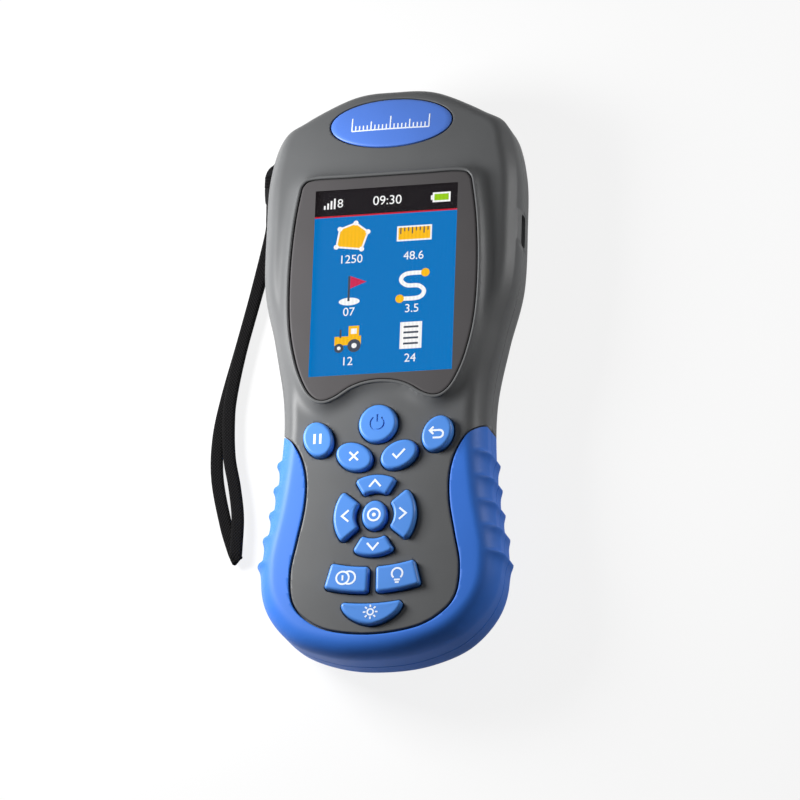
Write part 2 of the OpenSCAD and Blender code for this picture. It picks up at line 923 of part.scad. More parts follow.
// Badge and display
module badge_plate() {
    color(key_blue)
        on_badge()
            translate([0, 0, badge_proud - badge_t])
                linear_extrude(badge_t)
                    badge_oval(0);
}
module screen_lens() {
    color(clear)
        translate([0, 0, lens_low_z])
            linear_extrude(lens_t)
                polygon(lens_outline);
}
module lens_tape() {
    color(black)
        translate([0, 0, ledge_z])
            linear_extrude(tape_t)
                difference() {
                    polygon(grown(lens_outline, -0.3));
                    translate([0, picture_y])
                        square([picture_w + 2 * window_gap, picture_l + 2 * window_gap], center = true);
                }
}
module lcd_module() {
    color(screen_blue)
        translate([-module_w / 2, module_y - module_l / 2, module_z - module_t])
            cube([module_w, module_l, module_t]);
}
module backlight_tray() {
    color(white)
        translate([-module_w / 2, module_y - module_l / 2, board_top])
            cube([module_w, module_l, tray_t]);
}

// Boards and what stands on them
board_inset = grip_t + wall + 1.2;
board_field = wall + 0.6;
board_cut_y = top_y - 24;
module main_board() {
    color(board_green)
        translate([0, 0, board_low])
            linear_extrude(board_t)
                difference() {
                    polygon(inset_outline(board_inset));
                    grip_zone(-board_field);
                    translate([-big / 2, board_cut_y])
                        square([big, big]);
                    both(case_posts)
                        circle(post_r + 0.4, $fn = turned);
                    both(board_posts)
                        circle(small_r + 0.1, $fn = turned);
                }
}
chip_t = 1.2;
chips = [
    [0, picture_y - 5.4, 14],
    [-11, pad_y + 27, 9],
    [9, pad_y + 7, 10],
    [-9, picture_y + 12.6, 7]
];
module board_chips() {
    color(black)
        for (c = chips)
            translate([c[0], c[1], board_low - chip_t / 2])
                cube([c[2], c[2], chip_t], center = true);
}
module keypad_mat() {
    color(white)
        difference() {
            union() {
                translate([0, 0, board_top])
                    linear_extrude(mat_t)
                        difference() {
                            intersection() {
                                offset(delta = -board_field - 0.4)
                                    polygon(field_outline);
                                polygon(inset_outline(board_inset + 0.5));
                            }
                            both(case_posts)
                                circle(post_r + 0.5, $fn = turned);
                            both(board_posts)
                                circle(small_post_r + 0.3, $fn = turned);
                        }
                for (m = key_middles)
                    translate([m[0], m[1], board_top])
                        cylinder(pad_top - board_top, r = dome_r + 0.5, $fn = turned);
            }
            for (m = key_middles)
                translate([m[0], m[1], board_top - tiny])
                    cylinder(dome_t + 0.1, r = dome_r + 0.15, $fn = turned);
        }
}
module switch_domes() {
    color(steel)
        for (m = key_middles)
            translate([m[0], m[1], board_top])
                cylinder(dome_t, r1 = dome_r, r2 = dome_r * 0.7, $fn = turned);
}
module power_board() {
    color(board_green)
        translate([0, 0, power_low])
            linear_extrude(board_t)
                difference() {
                    union() {
                        translate([-power_w / 2, power_low_y])
                            square([power_w, power_high_y - power_low_y]);
                        translate([0, socket_y - arm_l / 2])
                            square([socket_x - arm_short, arm_l]);
                    }
                    both(power_posts)
                        circle(small_r + 0.1, $fn = turned);
                }
}
module usb_socket() {
    color(steel)
        translate([socket_x - socket_deep, socket_y - socket_w / 2, power_top])
            difference() {
                cube([socket_deep, socket_w, socket_h]);
                translate([1, socket_skin, socket_skin])
                    cube([socket_deep, socket_w - 2 * socket_skin, socket_h - 2 * socket_skin]);
            }
    color(black)
        translate([socket_x - socket_deep + 1, socket_y - socket_w / 2 + tongue_in, split_h - tongue_t / 2])
            cube([socket_deep - 2, socket_w - 2 * tongue_in, tongue_t]);
}
module board_link() {
    color(black)
        translate([-link_w / 2, link_y - link_l / 2, power_top])
            cube([link_w, link_l, board_low - power_top]);
}
module receiver_can() {
    color(steel)
        translate([-can_w / 2, can_y - can_l / 2, power_top])
            cube([can_w, can_l, can_t]);
}
module aerial_patch() {
    color(white)
        translate([-aerial_w / 2, can_y - aerial_w / 2, power_top + can_t])
            cube([aerial_w, aerial_w, aerial_t]);
}
module lamp_led() {
    color(white)
        translate([0, top_y - lamp_long - led_long, split_h])
            rotate([-90, 0, 0])
                cylinder(led_long, r = led_r, $fn = turned);
}
module lamp_lens() {
    color(clear)
        translate([0, top_y - lamp_long, split_h])
            rotate([-90, 0, 0])
                cylinder(lamp_long, r = lamp_r, $fn = turned);
}
buzzer_r = 4.5;
buzzer_h = 2.6;
buzzer_at = [-12, pad_y - 11];
module buzzer() {
    color(black)
        translate([buzzer_at[0], buzzer_at[1], board_low - buzzer_h])
            cylinder(buzzer_h, r = buzzer_r, $fn = turned);
}

// Battery, its contacts and its door
contact_x = [-6, 0, 6];
contact_w = 1.6;
contact_t = 0.5;
contact_z = door_high + battery_t * 0.55;
contact_in = bay_y + battery_l / 2;
contact_out = bay_y + bay_l / 2 + bay_wall + 3;
module contact_bars(gap) {
    for (x = contact_x)
        translate([x - contact_w / 2 - gap, contact_in, contact_z - gap])
            cube([contact_w + 2 * gap, contact_out - contact_in, contact_t + 2 * gap]);
}
module contact_slots() {
    contact_bars(0);
}
module battery_contacts() {
    color(gold)
        contact_bars(0);
}
module battery_pack() {
    color(black)
        translate([-battery_w / 2, bay_y - battery_l / 2, door_high])
            cube([battery_w, battery_l, battery_t]);
}
module battery_door() {
    color(shell_grey) {
        translate([0, bay_y, door_low])
            linear_extrude(door_t)
                offset(r = door_corner, $fn = 16)
                    square([door_w - 2 * door_corner, door_l - 2 * door_corner], center = true);
        for (end = [-1, 1])
            translate([0, bay_y + end * (bay_l / 2 - catch_t / 2 - 0.3), door_high + catch_h / 2 - tiny])
                cube([catch_w, catch_t, catch_h + 2 * tiny], center = true);
    }
}

// Screws
screw_bite = 4;
screw_long = split_h - head_depth + screw_bite;
module case_screws() {
    color(steel)
        both(case_posts) {
            translate([0, 0, head_depth - 1.6])
                cylinder(1.6, r = head_r, $fn = turned);
            translate([0, 0, head_depth - tiny])
                cylinder(screw_long, r = screw_r, $fn = turned);
        }
}
module board_screws() {
    color(steel) {
        both(board_posts) {
            translate([0, 0, board_low - small_head_t])
                cylinder(small_head_t, r = small_head_r, $fn = turned);
            translate([0, 0, board_low - tiny])
                cylinder(board_t + 1.4, r = small_r, $fn = turned);
        }
        both(power_posts) {
            translate([0, 0, power_top])
                cylinder(small_head_t, r = small_head_r, $fn = turned);
            translate([0, 0, power_top - board_t - 3])
                cylinder(board_t + 3 + tiny, r = small_r, $fn = turned);
        }
    }
}

// Strap
module strap_lug() {
    color(black)
        translate([0, lug_y, split_h]) {
            translate([lug_case_x - lug_room - tiny, -lug_l / 2 + 1, -lug_h / 2])
                cube([lug_seat + lug_room + tiny, lug_arm, lug_h]);
            translate([lug_case_x - lug_room - tiny, lug_l / 2 - 1 - lug_arm, -lug_h / 2])
                cube([lug_seat + lug_room + tiny, lug_arm, lug_h]);
            translate([lug_case_x + lug_seat - 1.2, -lug_l / 2 + 1, -lug_h / 2])
                cube([1.2, lug_l - 2, lug_h]);
            translate([lug_bar_x, -lug_l / 2, -lug_h / 2])
                cube([lug_bar, lug_l, lug_h]);
        }
}
module strap_tab() {
    color(black)
        translate([lug_bar_x - tab_out, tab_y - tab_w / 2, tab_low])
            difference() {
                cube([tab_out + lug_bar + tab_t, tab_w, lug_h + 2 * tab_t]);
                translate([tab_out, -tiny, tab_t])
                    cube([lug_bar, tab_w + 2 * tiny, lug_h]);
            }
}
module wrist_strap() {
    n = strap_sides;
    m = strap_last + 1;
    points = [
        for (i = [0 : strap_last], k = [0 : n - 1])
            let (
                t = 360 * (k + 0.5) / n,
                flat = strap_flat(i),
                across = cross(strap_way(i), flat),
                c = cos(t),
                s = sin(t)
            )
            strap_line[i] + strap_w / 2 * sign(c) * pow(abs(c), 0.5) * flat
                + strap_t / 2 * sign(s) * pow(abs(s), 0.5) * across
    ];
    walls = [
        for (j = [0 : m - 2], i = [0 : n - 1], half = [0, 1])
            let (a = j * n + i, b = j * n + (i + 1) % n)
            half == 0 ? [a, a + n, b + n] : [a, b + n, b]
    ];
    ends = [[for (i = [0 : n - 1]) i], [for (i = [n - 1 : -1 : 0]) (m - 1) * n + i]];
    color(black)
        polyhedron(points, concat(walls, ends));
}

front_shell();
rear_shell();
grip_front();
grip_rear();
badge_plate();
screen_lens();
lens_tape();
lcd_module();
backlight_tray();
main_board();
board_chips();
keypad_mat();
switch_domes();
key(key_shapes[0]);  // power_key
key(key_shapes[1]);  // pause_key
key(key_shapes[2]);  // return_key
key(key_shapes[3]);  // delete_key
key(key_shapes[4]);  // save_key
key(key_shapes[5]);  // up_key
key(key_shapes[6]);  // left_key
key(key_shapes[7]);  // right_key
key(key_shapes[8]);  // down_key
key(key_shapes[9]);  // enter_key
key(key_shapes[10]);  // price_key
key(key_shapes[11]);  // lamp_key
key(key_shapes[12]);  // dimmer_key
power_board();
usb_socket();
board_link();
receiver_can();
aerial_patch();
lamp_led();
lamp_lens();
buzzer();
battery_pack();
battery_contacts();
battery_door();
case_screws();
board_screws();
strap_lug();
strap_tab();
wrist_strap();
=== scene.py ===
import math

import bmesh
import bpy
import numpy as np
from mathutils import Matrix, Vector, kdtree


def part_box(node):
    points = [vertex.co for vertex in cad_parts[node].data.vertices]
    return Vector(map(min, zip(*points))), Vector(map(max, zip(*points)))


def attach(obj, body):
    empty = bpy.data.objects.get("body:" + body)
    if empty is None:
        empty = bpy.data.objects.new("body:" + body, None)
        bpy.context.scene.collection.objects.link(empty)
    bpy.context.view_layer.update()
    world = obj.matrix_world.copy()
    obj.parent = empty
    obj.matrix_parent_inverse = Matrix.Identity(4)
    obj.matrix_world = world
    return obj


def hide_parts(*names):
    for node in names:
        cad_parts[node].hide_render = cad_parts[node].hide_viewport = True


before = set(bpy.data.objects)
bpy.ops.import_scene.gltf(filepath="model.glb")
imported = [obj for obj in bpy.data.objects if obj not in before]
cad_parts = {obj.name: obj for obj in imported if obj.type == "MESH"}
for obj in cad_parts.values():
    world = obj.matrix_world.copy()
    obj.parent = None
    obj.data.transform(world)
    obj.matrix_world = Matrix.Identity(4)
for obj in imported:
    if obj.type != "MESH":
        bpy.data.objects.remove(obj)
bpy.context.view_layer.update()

# Front case: one half of a moulded clamshell in satin grey plastic, with a soft rim round the display.
# Its face falls a little to the sides and over the head, and its edge is well rounded.
# Lengths are millimetres until a piece is finished.
MM = 0.001
TO_MM = 1 / MM
case_low, case_high = (place * TO_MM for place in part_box("front_shell"))
top_y, head_x, split_z = case_high.y, case_high.x, case_low.z


def span(node, axis):
    """A CAD node's lowest and highest place on one axis."""
    return [getattr(place, axis) * TO_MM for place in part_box(node)]


foot_y = span("grip_front", "y")[0]
face_z = 21.8
over_z = face_z + 9
neck_x, grip_x = 26.1, 30.6
front_round, rear_round = 5, 8
side_fall, head_fall = 1.5, 2.5
fall_from = top_y - 22.5
spine_high, spine_low = top_y - 26, foot_y + 22
outline_steps = 16
quarter = math.pi / 2


def spline(points, steps, closed=True):
    """A smooth curve through the points, with so many steps from each point to the next."""
    p = np.asarray(points, float)
    if closed:
        a, b, c, d = (np.roll(p, shift, axis=0) for shift in (1, 0, -1, -2))
    else:
        q = np.concatenate([p[:1], p, p[-1:]])
        a, b, c, d = q[:-3], q[1:-2], q[2:-1], q[3:]
    t = (np.arange(steps) / steps)[None, :, None]
    a, b, c, d = (v[:, None, :] for v in (a, b, c, d))
    curve = (2 * b + (c - a) * t + (2 * a - 5 * b + 4 * c - d) * t**2 + (3 * b - a - 3 * c + d) * t**3) / 2
    curve = curve.reshape(-1, p.shape[1])
    return curve if closed else np.concatenate([curve, p[-1:]])


def both_sides(half):
    """A closed outline from the points of its right half, listed from top to foot."""
    right = np.asarray(half, float)
    return np.concatenate([right * (-1, 1), right[-2:0:-1]])


def pairs(x, y):
    return np.stack([x, y], axis=1)


def unit(vectors):
    return vectors / np.linalg.norm(vectors, axis=1)[:, None]


def outward(outline):
    """The unit normals of an outline that runs anticlockwise."""
    way = np.roll(outline, -1, axis=0) - np.roll(outline, 1, axis=0)
    return unit(pairs(way[:, 1], -way[:, 0]))


def grown(outline, distance):
    return outline + distance * outward(outline)


def between(start, end, share):
    return start + (end - start) * share


body_outline = spline(both_sides([
    (0, top_y),
    (head_x * 0.325, top_y - 0.9),
    (head_x * 0.702, top_y - 6.7),
    (head_x * 0.893, top_y - 10.9),
    (head_x * 0.985, top_y - 21.5),
    (head_x, top_y - 34.5),
    (between(head_x, neck_x, 0.06), top_y - 51.5),
    (between(head_x, neck_x, 0.57), top_y - 66),
    (neck_x + 0.2, foot_y + 68.5),
    (neck_x + 0.2, foot_y + 54.5),
    (between(neck_x, grip_x, 0.43), foot_y + 39.5),
    (grip_x, foot_y + 25.5),
    (grip_x * 0.947, foot_y + 14.5),
    (grip_x * 0.713, foot_y + 5.7),
    (grip_x * 0.366, foot_y + 1.2),
    (0, foot_y),
]), outline_steps)
body_spine = pairs(0 * body_outline[:, 0], np.clip(body_outline[:, 1], spine_low, spine_high))


def towards_spine(distance):
    """The body outline moved in towards the spine by a distance."""
    way = body_spine - body_outline
    reach = np.linalg.norm(way, axis=1)[:, None]
    return body_outline + way * np.minimum(np.reshape(distance, (-1, 1)) / reach, 1)


def face_height(p):
    """Height of the plain face over a point, without the rim."""
    over = np.maximum(p[..., 1] - fall_from, 0) / (top_y - fall_from)
    return face_z - side_fall * (p[..., 0] / head_x) ** 2 - head_fall * over**2


lens_low_z, lens_high_z = span("screen_lens", "z")
lens_x = span("screen_lens", "x")[1]
lens_foot, lens_top = -8.5, 49.8
lobe_x = lens_x * 0.59
lens_points = both_sides([
    (0, lens_top),
    (lens_x * 0.4, lens_top),
    (lens_x * 0.77, lens_top),
    (lens_x * 0.885, lens_top - 1.2),
    (lens_x * 0.925, lens_top - 4.5),
    (lens_x * 0.975, lens_top - 13.5),
    (lens_x, lens_top - 25.5),
    (lens_x * 0.98, lens_top - 38),
    (lens_x * 0.9, lens_foot + 10.5),
    (lens_x * 0.795, lens_foot + 4),
    (lens_x * 0.695, lens_foot + 0.9),
    (lobe_x, lens_foot),
    (lobe_x - 2.9, lens_foot + 0.9),
    (lobe_x * 0.53, lens_foot + 3.2),
    (lobe_x * 0.28, lens_foot + 4.4),
    (0, lens_foot + 4.8),
])
lens_outline = spline(lens_points, outline_steps)
search_steps = 80
near_lens = kdtree.KDTree(search_steps * len(lens_points))
for i, (x, y) in enumerate(spline(lens_points, search_steps)):
    near_lens.insert((x, y, 0), i)
near_lens.balance()
lip_z = lens_high_z + 0.3
lip_w, lip_step = 0.8, 0.16
cove_least, cove_w, cove_curve = 2, 5, 3.2
rim_margin = 1.2
weld = 1e-4


def side_reach(y):
    """Half width of the body at a height."""
    half = body_outline[: len(body_outline) // 2 + 1]
    return np.interp(-y, -half[:, 1], -half[:, 0])


def ramp(value, start, width):
    """Zero up to a start, then rising to one over a width."""
    return np.clip((value - start) / width, 0, 1)


def rim_over(p, z):
    """Heights z over the points p, raised where a cove climbs to the lip round the display."""
    found = [near_lens.find((x, y, 0)) for x, y in p]
    foot = np.array([place[:2] for place, _, _ in found])
    gap = np.array([distance for _, _, distance in found])
    room = side_reach(foot[:, 1]) - np.abs(foot[:, 0]) - lip_w - rim_margin
    share = ramp(gap, lip_w, np.clip(room, cove_least, cove_w))
    return z + (lip_z - lip_step - face_height(foot)) * (1 - share) ** cove_curve


def sheet(rows, uv=""):
    """Faces through rows of points, welded where points meet.
    A named UV map runs once along the rows and once from the first row to the last."""
    bm = bmesh.new()
    if uv:
        bm.loops.layers.uv.new(uv)
    grid = bmesh.ops.create_grid(
        bm, x_segments=len(rows[0]) - 1, y_segments=len(rows) - 1, size=1, calc_uvs=bool(uv)
    )["verts"]
    for vert, place in zip(grid, np.concatenate(rows)):
        vert.co = place
    bmesh.ops.remove_doubles(bm, verts=grid, dist=weld)
    return bm


def loft(rings, capped=False, uv=""):
    """A skin through closed rings of points; ends that shrink to a point or a line close by themselves."""
    bm = sheet([np.concatenate([ring, ring[:1]]) for ring in rings], uv)
    if capped:
        bmesh.ops.holes_fill(bm, edges=[e for e in bm.edges if e.is_boundary], sides=0)
    bmesh.ops.recalc_face_normals(bm, faces=bm.faces)
    return bm


def raised(outline, z):
    """An outline as a ring at a height, which may differ from point to point."""
    return np.column_stack([outline, np.broadcast_to(z, len(outline))])


seam = 0.2
head_round, head_drop, head_bend = 4.2, 3.3, 0.7
crown_round, least_round = 3, 0.01
grip_crease = math.radians(62)
edge_marks = [foot_y + 8, foot_y + 24, foot_y + 60, foot_y + 76, top_y - 16, top_y - 6]


def along(values):
    """A value for each point of the body outline, from values at the marked heights."""
    return np.interp(body_outline[:, 1], edge_marks, values)


def edge_round(skin):
    """Width and drop of the front edge's rounding, the angle that its arc turns through, and how far
    it is instead a slope with a soft start. It is round at the foot and over the crown, ends in a
    crease along the grip, and is a slope down the sides of the head."""
    if skin:
        radius = max(front_round - skin, least_round)
        return radius, radius, quarter, 0
    width = along([front_round] * 3 + [head_round] * 2 + [crown_round])
    drop = along([front_round] * 3 + [head_drop] * 2 + [crown_round])
    turn = along([quarter] + [grip_crease] * 4 + [quarter])
    return width, drop, turn, along([0, 0, 0, 1, 1, 0])


def front_rings(skin, face_steps, edge_steps, wall_steps=1, rim=False):
    """Rings of the front half a skin depth inside the surface, from the spine to the split."""
    width, drop, turn, slope = edge_round(skin)
    start = towards_spine(skin + width)
    rings = []
    for share in np.linspace(1, 0, face_steps, endpoint=False):
        p = between(start, body_spine, share)
        rings.append((p, face_height(p) - skin))
    for share in np.linspace(0, 1, edge_steps + 1):
        out = np.sin(share * turn) / np.sin(turn)
        down = (1 - np.cos(share * turn)) / (1 - np.cos(turn))
        bend = min(share, head_bend)
        sloped = (bend**2 / (2 * head_bend) + share - bend) / (1 - head_bend / 2)
        p = towards_spine(skin + width * (1 - out - slope * (share - out)))
        rings.append((p, face_height(p) - skin - drop * (down + slope * (sloped - down))))
    rings = [raised(p, rim_over(p, z) if rim else z) for p, z in rings]
    wall, wall_top = towards_spine(skin), rings[-1][:, 2]
    for share in np.linspace(0, 1, wall_steps + 1)[1:]:
        rings.append(raised(wall, between(wall_top, split_z + seam, share)))
    rings.append(raised(towards_spine(skin + seam * (skin == 0)), split_z))
    return rings


def rear_rings(skin, face_steps, edge_steps):
    """Rings of the rear half, from the spine of the flat back to the split."""
    radius = max(rear_round - skin, least_round)
    start = towards_spine(skin + radius)
    shares = np.linspace(1, 0, face_steps, endpoint=False)
    rings = [raised(between(start, body_spine, share), skin) for share in shares]
    for angle in np.linspace(0, quarter, edge_steps + 1):
        inset, rise = radius * (1 - math.sin(angle)), radius * (1 - math.cos(angle))
        rings.append(raised(towards_spine(skin + inset), skin + rise))
    rings.append(raised(towards_spine(skin), split_z - seam))
    rings.append(raised(towards_spine(skin + seam * (skin == 0)), split_z))
    return rings


def linked(name, data):
    """A new object in the scene."""
    made = bpy.data.objects.new(name, data)
    bpy.context.scene.collection.objects.link(made)
    return made


def mesh_of(bm, name):
    """A mesh from a bmesh, which is used up."""
    mesh = bpy.data.meshes.new(name)
    bm.to_mesh(mesh)
    bm.free()
    return mesh


def shape_of(made):
    """A bmesh of an object's shape, with its modifiers or its figures worked out."""
    bpy.context.view_layer.update()
    shown = made.evaluated_get(bpy.context.evaluated_depsgraph_get())
    bm = bmesh.new()
    bm.from_mesh(shown.to_mesh())
    shown.to_mesh_clear()
    return bm


def boolean(base, tool, operation):
    """The base cut by the tool, joined with it or kept only inside it."""
    pair = [linked("scratch", mesh_of(bm, "scratch")) for bm in (base, tool)]
    cut = pair[0].modifiers.new("cut", "BOOLEAN")
    cut.operation = operation
    cut.solver = "MANIFOLD"
    cut.object = pair[1]
    result = shape_of(pair[0])
    for made in pair:
        mesh = made.data
        bpy.data.objects.remove(made)
        bpy.data.meshes.remove(mesh)
    return result


def joined(*parts):
    """Several bmeshes in one."""
    whole = bmesh.new()
    for part in parts:
        mesh = mesh_of(part, "scratch")
        whole.from_mesh(mesh)
        bpy.data.meshes.remove(mesh)
    return whole


def bevelled(bm, edges, width):
    bmesh.ops.bevel(bm, geom=edges, offset=width, segments=3, profile=0.5, affect="EDGES", material=-1)
    return bm


def block(low, high, edge=0):
    """A box between two corners, with rounded edges."""
    bm = bmesh.new()
    bmesh.ops.create_cube(bm, size=1)
    low, high = Vector(low), Vector(high)
    bmesh.ops.scale(bm, vec=high - low, verts=bm.verts)
    bmesh.ops.translate(bm, vec=(low + high) / 2, verts=bm.verts)
    return bevelled(bm, bm.edges[:], edge) if edge else bm


def rod(radius, low, high, axis="Z", edge=0, sides=48):
    """A round rod from one end to the other along an axis, with rounded rims."""
    bm = bmesh.new()
    low, high = Vector(low), Vector(high)
    bmesh.ops.create_cone(
        bm, cap_ends=True, segments=sides, radius1=radius, radius2=radius, depth=(high - low).length
    )
    if edge:
        bevelled(bm, [e for e in bm.edges if abs(e.verts[0].co.z - e.verts[1].co.z) < weld], edge)
    turn = Matrix.Rotation(-quarter, 4, "X") if axis == "Y" else Matrix()
    bmesh.ops.transform(bm, matrix=turn, verts=bm.verts)
    bmesh.ops.translate(bm, vec=(low + high) / 2, verts=bm.verts)
    return bm


hole_flare = 0.2
hole_lip = ((0, -0.5), (0.12, -0.25), (0.45, -0.08), (1, 0.03))


def flared(outline):
    """A cutter through the face along an outline, widened by a soft lip that follows the face's height."""
    height = face_height(outline)
    rings = [raised(outline, split_z - 3)]
    rings += [raised(grown(outline, hole_flare * out), height + rise) for out, rise in hole_lip]
    rings.append(raised(grown(outline, hole_flare), over_z))
    return loft(rings, capped=True)


class Wire:
    """A socket in a material's nodes; arithmetic on it adds Math nodes."""

    def __init__(self, tree, socket=None):
        self.tree = tree
        self.socket = socket

    def node(self, kind, settings={}, sockets={}, out=0):
        made = self.tree.nodes.new(kind)
        for name, value in settings.items():
            setattr(made, name, value)
        for name, value in sockets.items():
            if isinstance(value, Wire):
                self.tree.links.new(value.socket, made.inputs[name])
            else:
                made.inputs[name].default_value = value
        return Wire(self.tree, made.outputs[out])

    def math(self, operation, *values):
        return self.node("ShaderNodeMath", {"operation": operation}, dict(enumerate(values)))

    def here(self):
        return self.node("ShaderNodeTexCoord", out="Object")

    def noise(self, scale, detail, place=None):
        sockets = {"Vector": place or self.here(), "Scale": scale, "Detail": detail}
        return self.node("ShaderNodeTexNoise", {}, sockets)

    def tone(self, share, colour, dark, light):
        """A colour between a darker and a lighter tint of itself."""
        sockets = {"Factor": share, "A": tinted(colour, dark), "B": tinted(colour, light)}
        return self.node("ShaderNodeMix", {"data_type": "RGBA"}, sockets, out="Result")

    def bump(self, height, strength, depth):
        sockets = {"Height": height, "Strength": strength, "Distance": depth * MM}
        return self.node("ShaderNodeBump", {}, sockets)

    def __add__(self, other):
        return self.math("ADD", self, other)

    def __sub__(self, other):
        return self.math("SUBTRACT", self, other)

    def __mul__(self, other):
        return self.math("MULTIPLY", self, other)

    def __rsub__(self, other):
        return self.math("SUBTRACT", other, self)

    __radd__ = __add__
    __rmul__ = __mul__


def srgb(red, green, blue):
    """A colour as a picture gives it, 0 to 255, in linear light."""
    shares = [v / 255 for v in (red, green, blue)]
    return tuple(s / 12.92 if s < 0.04045 else ((s + 0.055) / 1.055) ** 2.4 for s in shares) + (1,)


def tinted(colour, share):
    return tuple(c * share for c in colour[:3]) + (1,)


def surface(name, **constants):
    """A new material; returns it with a wire to add nodes and its shader's sockets."""
    material = bpy.data.materials.new(name)
    material.use_nodes = True
    shader = material.node_tree.nodes["Principled BSDF"]
    for socket, value in constants.items():
        shader.inputs[socket.replace("_", " ")].default_value = value
    return material, Wire(material.node_tree), shader.inputs


def feed(wire, socket):
    wire.tree.links.new(wire.socket, socket)


def moulded(name, colour, rough, grain, depth, **constants):
    """Moulded plastic or rubber: a fine spark-eroded grain, with faint changes of tone and gloss."""
    material, wire, shader = surface(name, **constants)
    fine, broad = wire.noise(TO_MM / grain, 3), wire.noise(90, 2)
    feed(wire.tone(broad, colour, 0.94, 1.06), shader["Base Color"])
    feed(rough + 0.1 * (broad - 0.5) + 0.12 * (fine - 0.5), shader["Roughness"])
    feed(wire.bump(fine, 0.35, depth), shader["Normal"])
    return material


sharp_angle = math.radians(32)


def piece(name, bm, material, body, stands_for=()):
    """A finished piece: scaled to metres, shaded, and riding on its body."""
    bmesh.ops.scale(bm, vec=(MM, MM, MM), verts=bm.verts)
    made = linked(name, mesh_of(bm, name))
    made.data.shade_smooth()
    made.data.set_sharp_from_angle(angle=sharp_angle)
    made.data.materials.append(material)
    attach(made, body)
    if stands_for:
        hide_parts(*stands_for)
    return made


def cad_copy(node):
    """A CAD node's mesh in millimetres, with its loose triangles merged."""
    bm = bmesh.new()
    bm.from_mesh(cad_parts[node].data)
    bmesh.ops.scale(bm, vec=(TO_MM, TO_MM, TO_MM), verts=bm.verts)
    bmesh.ops.remove_doubles(bm, verts=bm.verts, dist=weld)
    return bm


outer_skin, inner_clip = 1.2, 1.0


def core_of(node):
    """Ribs, posts and walls of a case half, without the outer skin that is made anew."""
    inside = loft(rear_rings(inner_clip, 6, 8)[:-2] + front_rings(inner_clip, 30, 8)[::-1][2:])
    return boolean(cad_copy(node), inside, "INTERSECT")


grip_top = foot_y + 60.3
field_side = np.array([
    (grip_x - 3.6, grip_top),
    (grip_x - 6.3, grip_top - 2.2),
    (grip_x - 9, grip_top - 4.8),
    (grip_x - 11.3, grip_top - 9.2),
    (grip_x - 12.5, grip_top - 14.8),
    (grip_x - 12.3, foot_y + 38.5),
    (grip_x - 10.8, foot_y + 30.5),
    (grip_x - 9.3, foot_y + 22.5),
    (grip_x - 10, foot_y + 15),
    (grip_x - 13.6, foot_y + 10.3),
    (grip_x - 20.1, foot_y + 7),
    (0, foot_y + 5.7),
])
field_points = np.concatenate([field_side * (-1, 1), field_side[-2::-1]])
field_outline = spline(field_points, outline_steps, closed=False)
zone_reach = 60
grip_lip, grip_lip_depth = 0.3, 1.7
lip_curve = ((0, -1), (0.12, -0.5), (0.45, -0.16), (1, 0.03))


def grip_zone(gap, lip):
    """Everything outside the waisted keypad field and below the grip's top edge, as a cutter.
    The gap moves its wall out of the field, and the lip rounds the edge at the face."""
    across = np.gradient(field_outline, axis=0)
    normal = unit(pairs(-across[:, 1], across[:, 0]))
    corners = np.array([(1, 0), (1, -2), (-1, -2), (-1, 0)]) * float(zone_reach) + (0, grip_top)

    def ring(out, rise):
        wall = field_outline - normal * (gap + out)
        wall[:, 1] = np.minimum(wall[:, 1], grip_top - gap - out)
        reach = np.abs(wall[:, 0]).max() + 0.05
        wall[0] = (-reach, grip_top - gap - out)
        wall[-1] = (reach, grip_top - gap - out)
        ends = corners - (0, gap + out) * np.array([[1], [0], [0], [1]])
        height = np.concatenate([face_height(wall), np.full(4, face_z)]) + rise
        return np.concatenate([wall, ends]), height

    drop = abs(lip) * grip_lip_depth
    rings = [raised(ring(lip, 0)[0], z) for z in (-9, -0.03)]
    rings += [raised(ring(out * lip, 0)[0], -rise * drop) for out, rise in lip_curve[2::-1]]
    rings += [raised(*ring(out * lip, rise * drop)) for out, rise in lip_curve]
    rings.append(raised(ring(lip, 0)[0], over_z))
    return loft(rings, capped=True)


socket_y = top_y - 37.5
slot_y, slot_z, slot_round = 4.15, 1.75, 0.9
lamp_hole_r = 2.6
lug_y, lug_case_x = top_y - 20.4, -head_x * 0.967
notch_y, notch_z = 4.1, 1.8


def side_cuts():
    """Openings in the split line: charging slot, lamp hole and lug notch."""
    slot_low = (head_x - 4, socket_y - slot_y, split_z - slot_z)
    slot_high = (head_x + 6, socket_y + slot_y, split_z + slot_z)
    notch_low = (lug_case_x - 8, lug_y - notch_y, split_z - notch_z)
    notch_high = (lug_case_x + 2.6, lug_y + notch_y, split_z + notch_z)
    return joined(
        block(slot_low, slot_high, slot_round),
        rod(lamp_hole_r, (0, top_y - 5, split_z), (0, top_y + 4, split_z), "Y"),
        block(notch_low, notch_high),
    )


housing_grey = moulded("housing_grey", srgb(87, 88, 89), 0.39, 0.3, 0.02, Specular_IOR_Level=0.18)

# Keypad outlines: each key is a short post in its own hole.
# The shapes are drawn here because the front case is cut by them, a small gap wider.
pad_y = foot_y + 35.5
key_gap, badge_gap, lens_gap = 0.25, 0.25, 0.2
ring_r = 10.5


def turned(points, degrees):
    c, s = math.cos(math.radians(degrees)), math.sin(math.radians(degrees))
    return np.asarray(points) @ np.array([[c, s], [-s, c]])


def arc(radius, start, end, at=(0, 0), steps=32):
    angle = np.radians(np.linspace(start, end, steps + 1))
    return pairs(radius * np.cos(angle), radius * np.sin(angle)) + at


def oval(a, b, turn=0, at=(0, 0), steps=64):
    angle = np.arange(steps) * 2 * math.pi / steps
    return turned(pairs(a * np.cos(angle), b * np.sin(angle)), turn) + at


def corner(x, y, radius, start):
    return arc(radius, start, start + 90, (x, y), 8)


